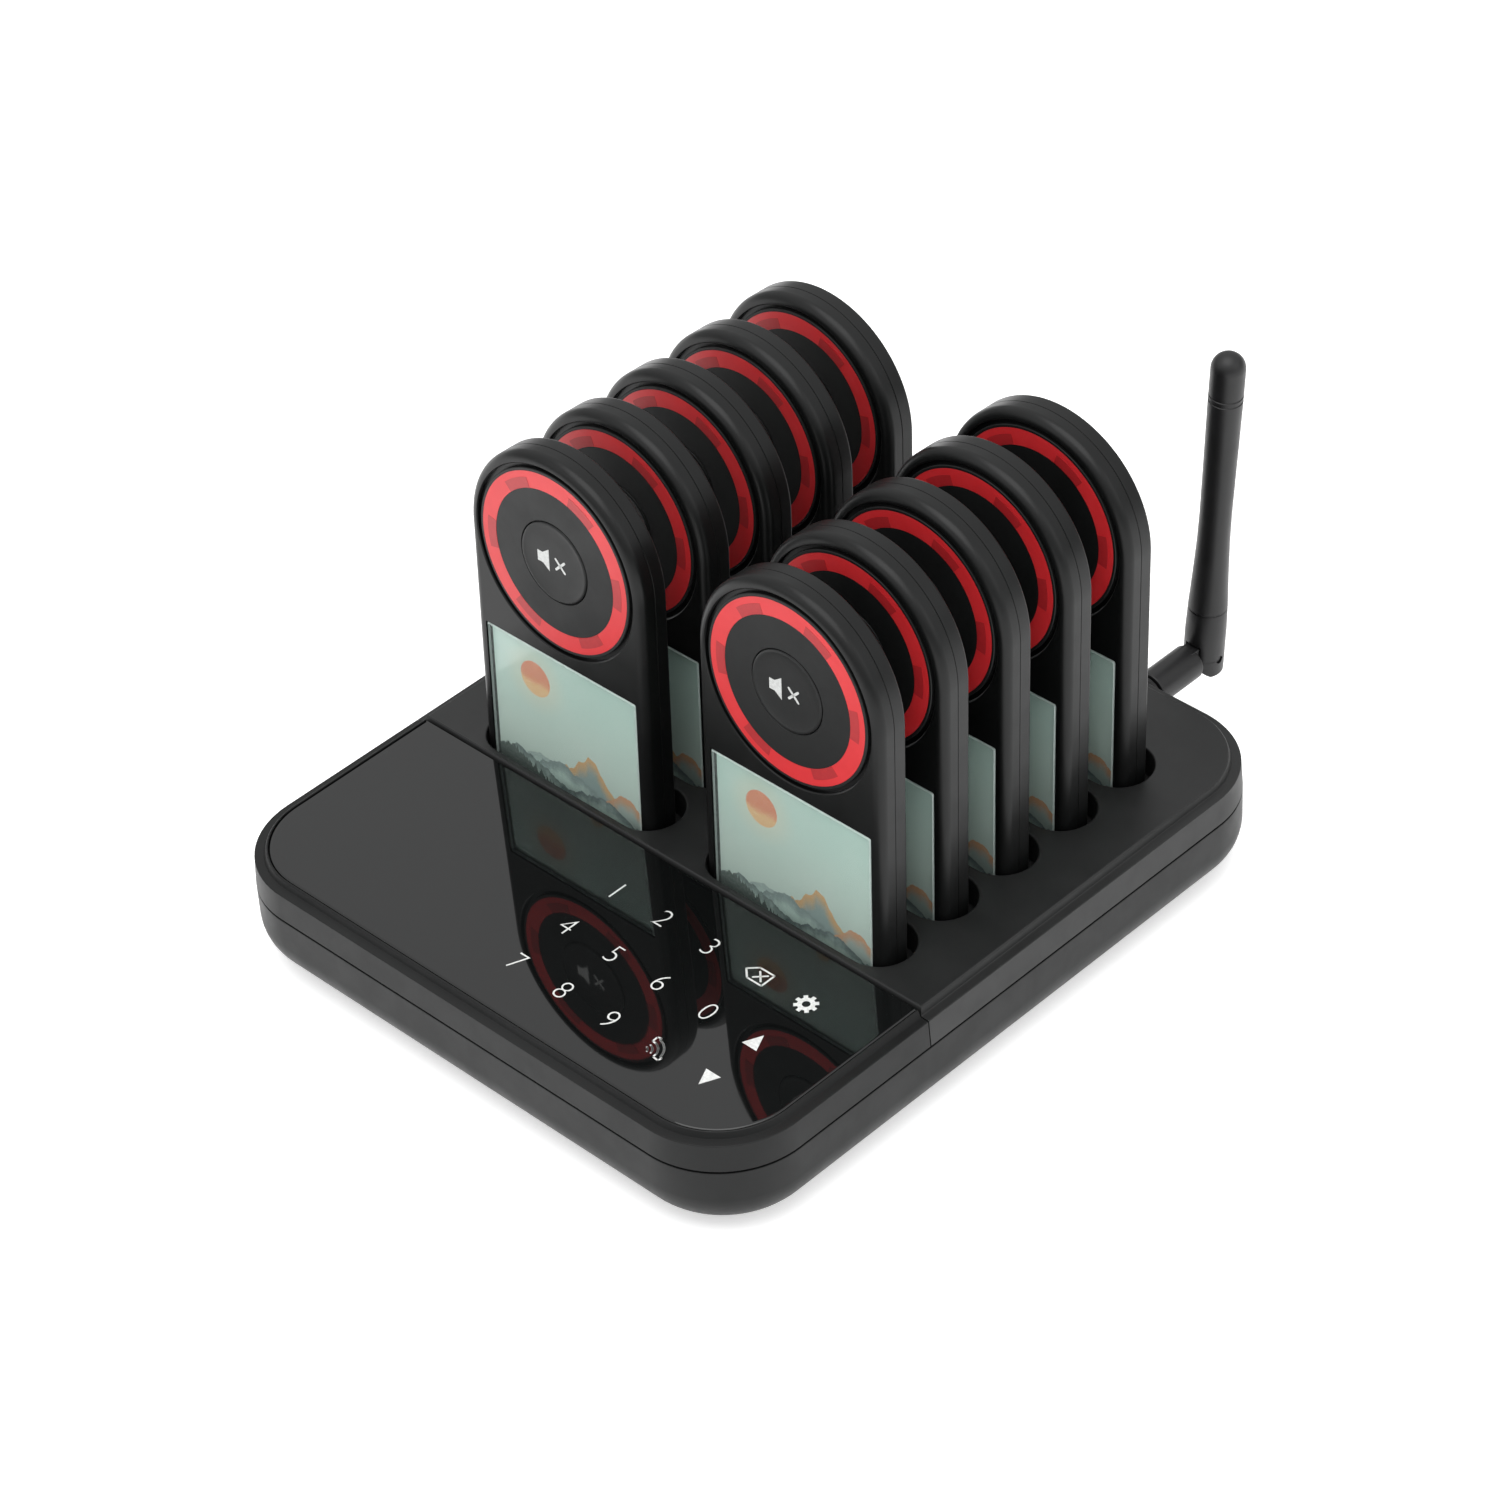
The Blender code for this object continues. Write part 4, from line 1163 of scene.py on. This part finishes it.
def make_whip():
    tip, base, cap = WHIP_LENGTH, WHIP_BASE_RADIUS, 4.1 * MM
    line, deep = 0.3 * MM, 0.18 * MM
    profile = [(0, 0), (base, 0), (base, 8.0 * MM), (base - 0.1 * MM, 11.0 * MM)]
    ring, ring_z = 4.72 * MM, 14.2 * MM
    profile += [(ring, ring_z - line), (ring - deep, ring_z), (ring, ring_z + line)]
    profile += in_mm((4.45, 20.0), (4.15, 27.0), (3.9, 34.0), (3.8, 42.0), (3.88, 52.0), (4.0, 64.0))
    profile += [(cap, tip - 14.0 * MM)]
    for height in (tip - 12.6 * MM, tip - 11.2 * MM):
        profile += [(cap, height - line), (cap - deep, height - line * 0.5),
                    (cap - deep, height + line * 0.5), (cap, height + line)]
    dome = 4.0 * MM
    profile += [(cap, tip - dome)]
    profile += [(cap * math.cos(a), tip - dome + dome * math.sin(a))
                for a in (math.radians(10 * step) for step in range(1, 9))]
    profile += [(0, tip)]
    whip = turned("whip", profile, 96)
    foot = rod(base, -7 * MM, 0.2 * MM, 96)
    soft = 0.5 * MM
    ears = [(0, -base), (base - soft, -base), (base, -base + soft), (base, base - soft),
            (base - soft, base), (0, base)]
    combined(foot, moved(turned("ears", ears, 96), ALONG_X), "INTERSECT")
    joined(whip, foot)
    half, clear = 2.2 * MM, base + 1 * MM
    cut(whip, bar(-half, half, -clear, clear, -8 * MM, TONGUE_REACH + 0.5 * MM))
    cut(whip, moved(rod(PIN_RADIUS + 0.05 * MM, -7 * MM, 7 * MM, 32), ALONG_X))
    piece = painted(smoothed(moved(whip, ANTENNA_STANCE)), ANTENNA)
    settle(piece, "whip", "antenna_whip", ["antenna_whip"])


def make_hinge_pin():
    half, soft = size_of("antenna_hinge_pin").x / 2, 0.25 * MM
    rim = PIN_RADIUS - soft
    profile = [(0, -half), (rim, -half), (PIN_RADIUS, -half + soft), (PIN_RADIUS, half - soft),
               (rim, half), (0, half)]
    pin = moved(turned("pin", profile, 40), ANTENNA_STANCE @ ALONG_X)
    painted(smoothed(pin), ANTENNA)
    settle(pin, "hinge_pin", "antenna_whip", ["antenna_hinge_pin"])


# ---- inside


def paint_inside():
    """The pieces inside keep their own shapes and get their own finishes."""
    finishes = {
        "control_board": (BOARD, "board_green"),
        "charging_board": (BOARD, "board_green"),
        "dc_power_socket": (CONNECTOR, "connector_black"),
        "antenna_socket": (GOLD, "plated_metal"),
        "pager_01_circuit_board": (BOARD, "board_green"),
        "pager_01_battery": (CELL, "battery_silver"),
        "pager_01_vibration_motor": (STEEL, "plated_metal"),
    }
    for node, (material, slot) in finishes.items():
        painted(frame["nodes"][node], material)


# ---- studio


def studio_surface():
    """A white sweep under the set."""
    size = 6.0
    floor = linked("studio_floor", bmesh.new())
    floor.data.from_pydata([(-size, -size, 0), (size, -size, 0), (size, size, 0), (-size, size, 0)], [],
                           [(0, 1, 2, 3)])
    n = Nodes("studio white")
    weave = n.noise(n.place(), 900.0, 2.0)
    n.colour(n.mix(weave, rgb(240, 240, 240), rgb(247, 247, 247)))
    n.fixed(Roughness=0.9, Specular_IOR_Level=0.1, Emission_Color=(1.0, 1.0, 1.0, 1.0),
            Emission_Strength=0.45)
    painted(floor, n.material)


def soft_light(name, azimuth, elevation, distance, width, height, power):
    """A large lamp that looks at the set from a direction; azimuth 0 is the keypad side, 90 the right."""
    a, e = math.radians(azimuth), math.radians(elevation)
    out = Vector((math.sin(a) * math.cos(e), -math.cos(a) * math.cos(e), math.sin(e)))
    lamp = bpy.data.lights.new(name, "AREA")
    lamp.shape = "RECTANGLE"
    lamp.size, lamp.size_y = width, height
    lamp.energy = power
    holder = placed(name, lamp)
    holder.location = Vector((0, 0, 0.05)) + out * distance
    holder.rotation_euler = out.to_track_quat("Z", "Y").to_euler()


def light_studio():
    soft_light("overhead_softbox", azimuth=20, elevation=80, distance=1.5, width=1.4, height=1.4, power=14)
    soft_light("right_softbox", azimuth=105, elevation=28, distance=1.3, width=0.9, height=1.0, power=2)
    soft_light("front_fill", azimuth=-25, elevation=25, distance=1.6, width=1.2, height=0.9, power=1.5)
    world = bpy.data.worlds.new("studio")
    world.use_nodes = True
    sky = Tree(world.node_tree)
    look = sky.node("ShaderNodeTexCoord", output="Object")
    height = sky.node("ShaderNodeSeparateXYZ", {0: look}, "Z")
    horizon_glow, sky_glow, sky_from = 0.3, 1.05, 0.6
    background = sky.tree.nodes["Background"]
    sky.wire(sky.between(height, 0.0, sky_from, horizon_glow, sky_glow), background.inputs["Strength"])
    background.inputs["Color"].default_value = (1.0, 1.0, 1.0, 1.0)
    bpy.context.scene.world = world
    bpy.context.scene.view_settings.view_transform = "Standard"


def place_camera():
    """A long lens above the front right corner, rolled a little."""
    azimuth, elevation, roll = (math.radians(angle) for angle in (45.83, 38.57, -3.54))
    back = Vector((math.sin(azimuth) * math.cos(elevation), -math.cos(azimuth) * math.cos(elevation),
                   math.sin(elevation)))
    right = Vector((0, 0, 1)).cross(back).normalized()
    up = back.cross(right)
    rolled_right = right * math.cos(roll) + up * math.sin(roll)
    rolled_up = up * math.cos(roll) - right * math.sin(roll)
    lens = bpy.data.cameras.new("studio camera")
    lens.lens, lens.sensor_width = 119.03, 36.0
    lens.shift_x, lens.shift_y = -0.0131, -0.0258
    lens.clip_start, lens.clip_end = 0.05, 50.0
    camera = placed("studio camera", lens)
    camera.location = (0.62539, -0.61660, 0.74372)
    camera.rotation_euler = Matrix((rolled_right, rolled_up, back)).transposed().to_euler()
    bpy.context.scene.camera = camera


for make in (make_lower_shell, make_screws, make_keypad_frame, make_keypad_glass, make_keypad_signs,
             make_dock_cover, make_contact_pins, make_feet, make_pagers, make_collar, make_elbow,
             make_whip, make_hinge_pin, paint_inside, studio_surface, light_studio, place_camera):
    make()
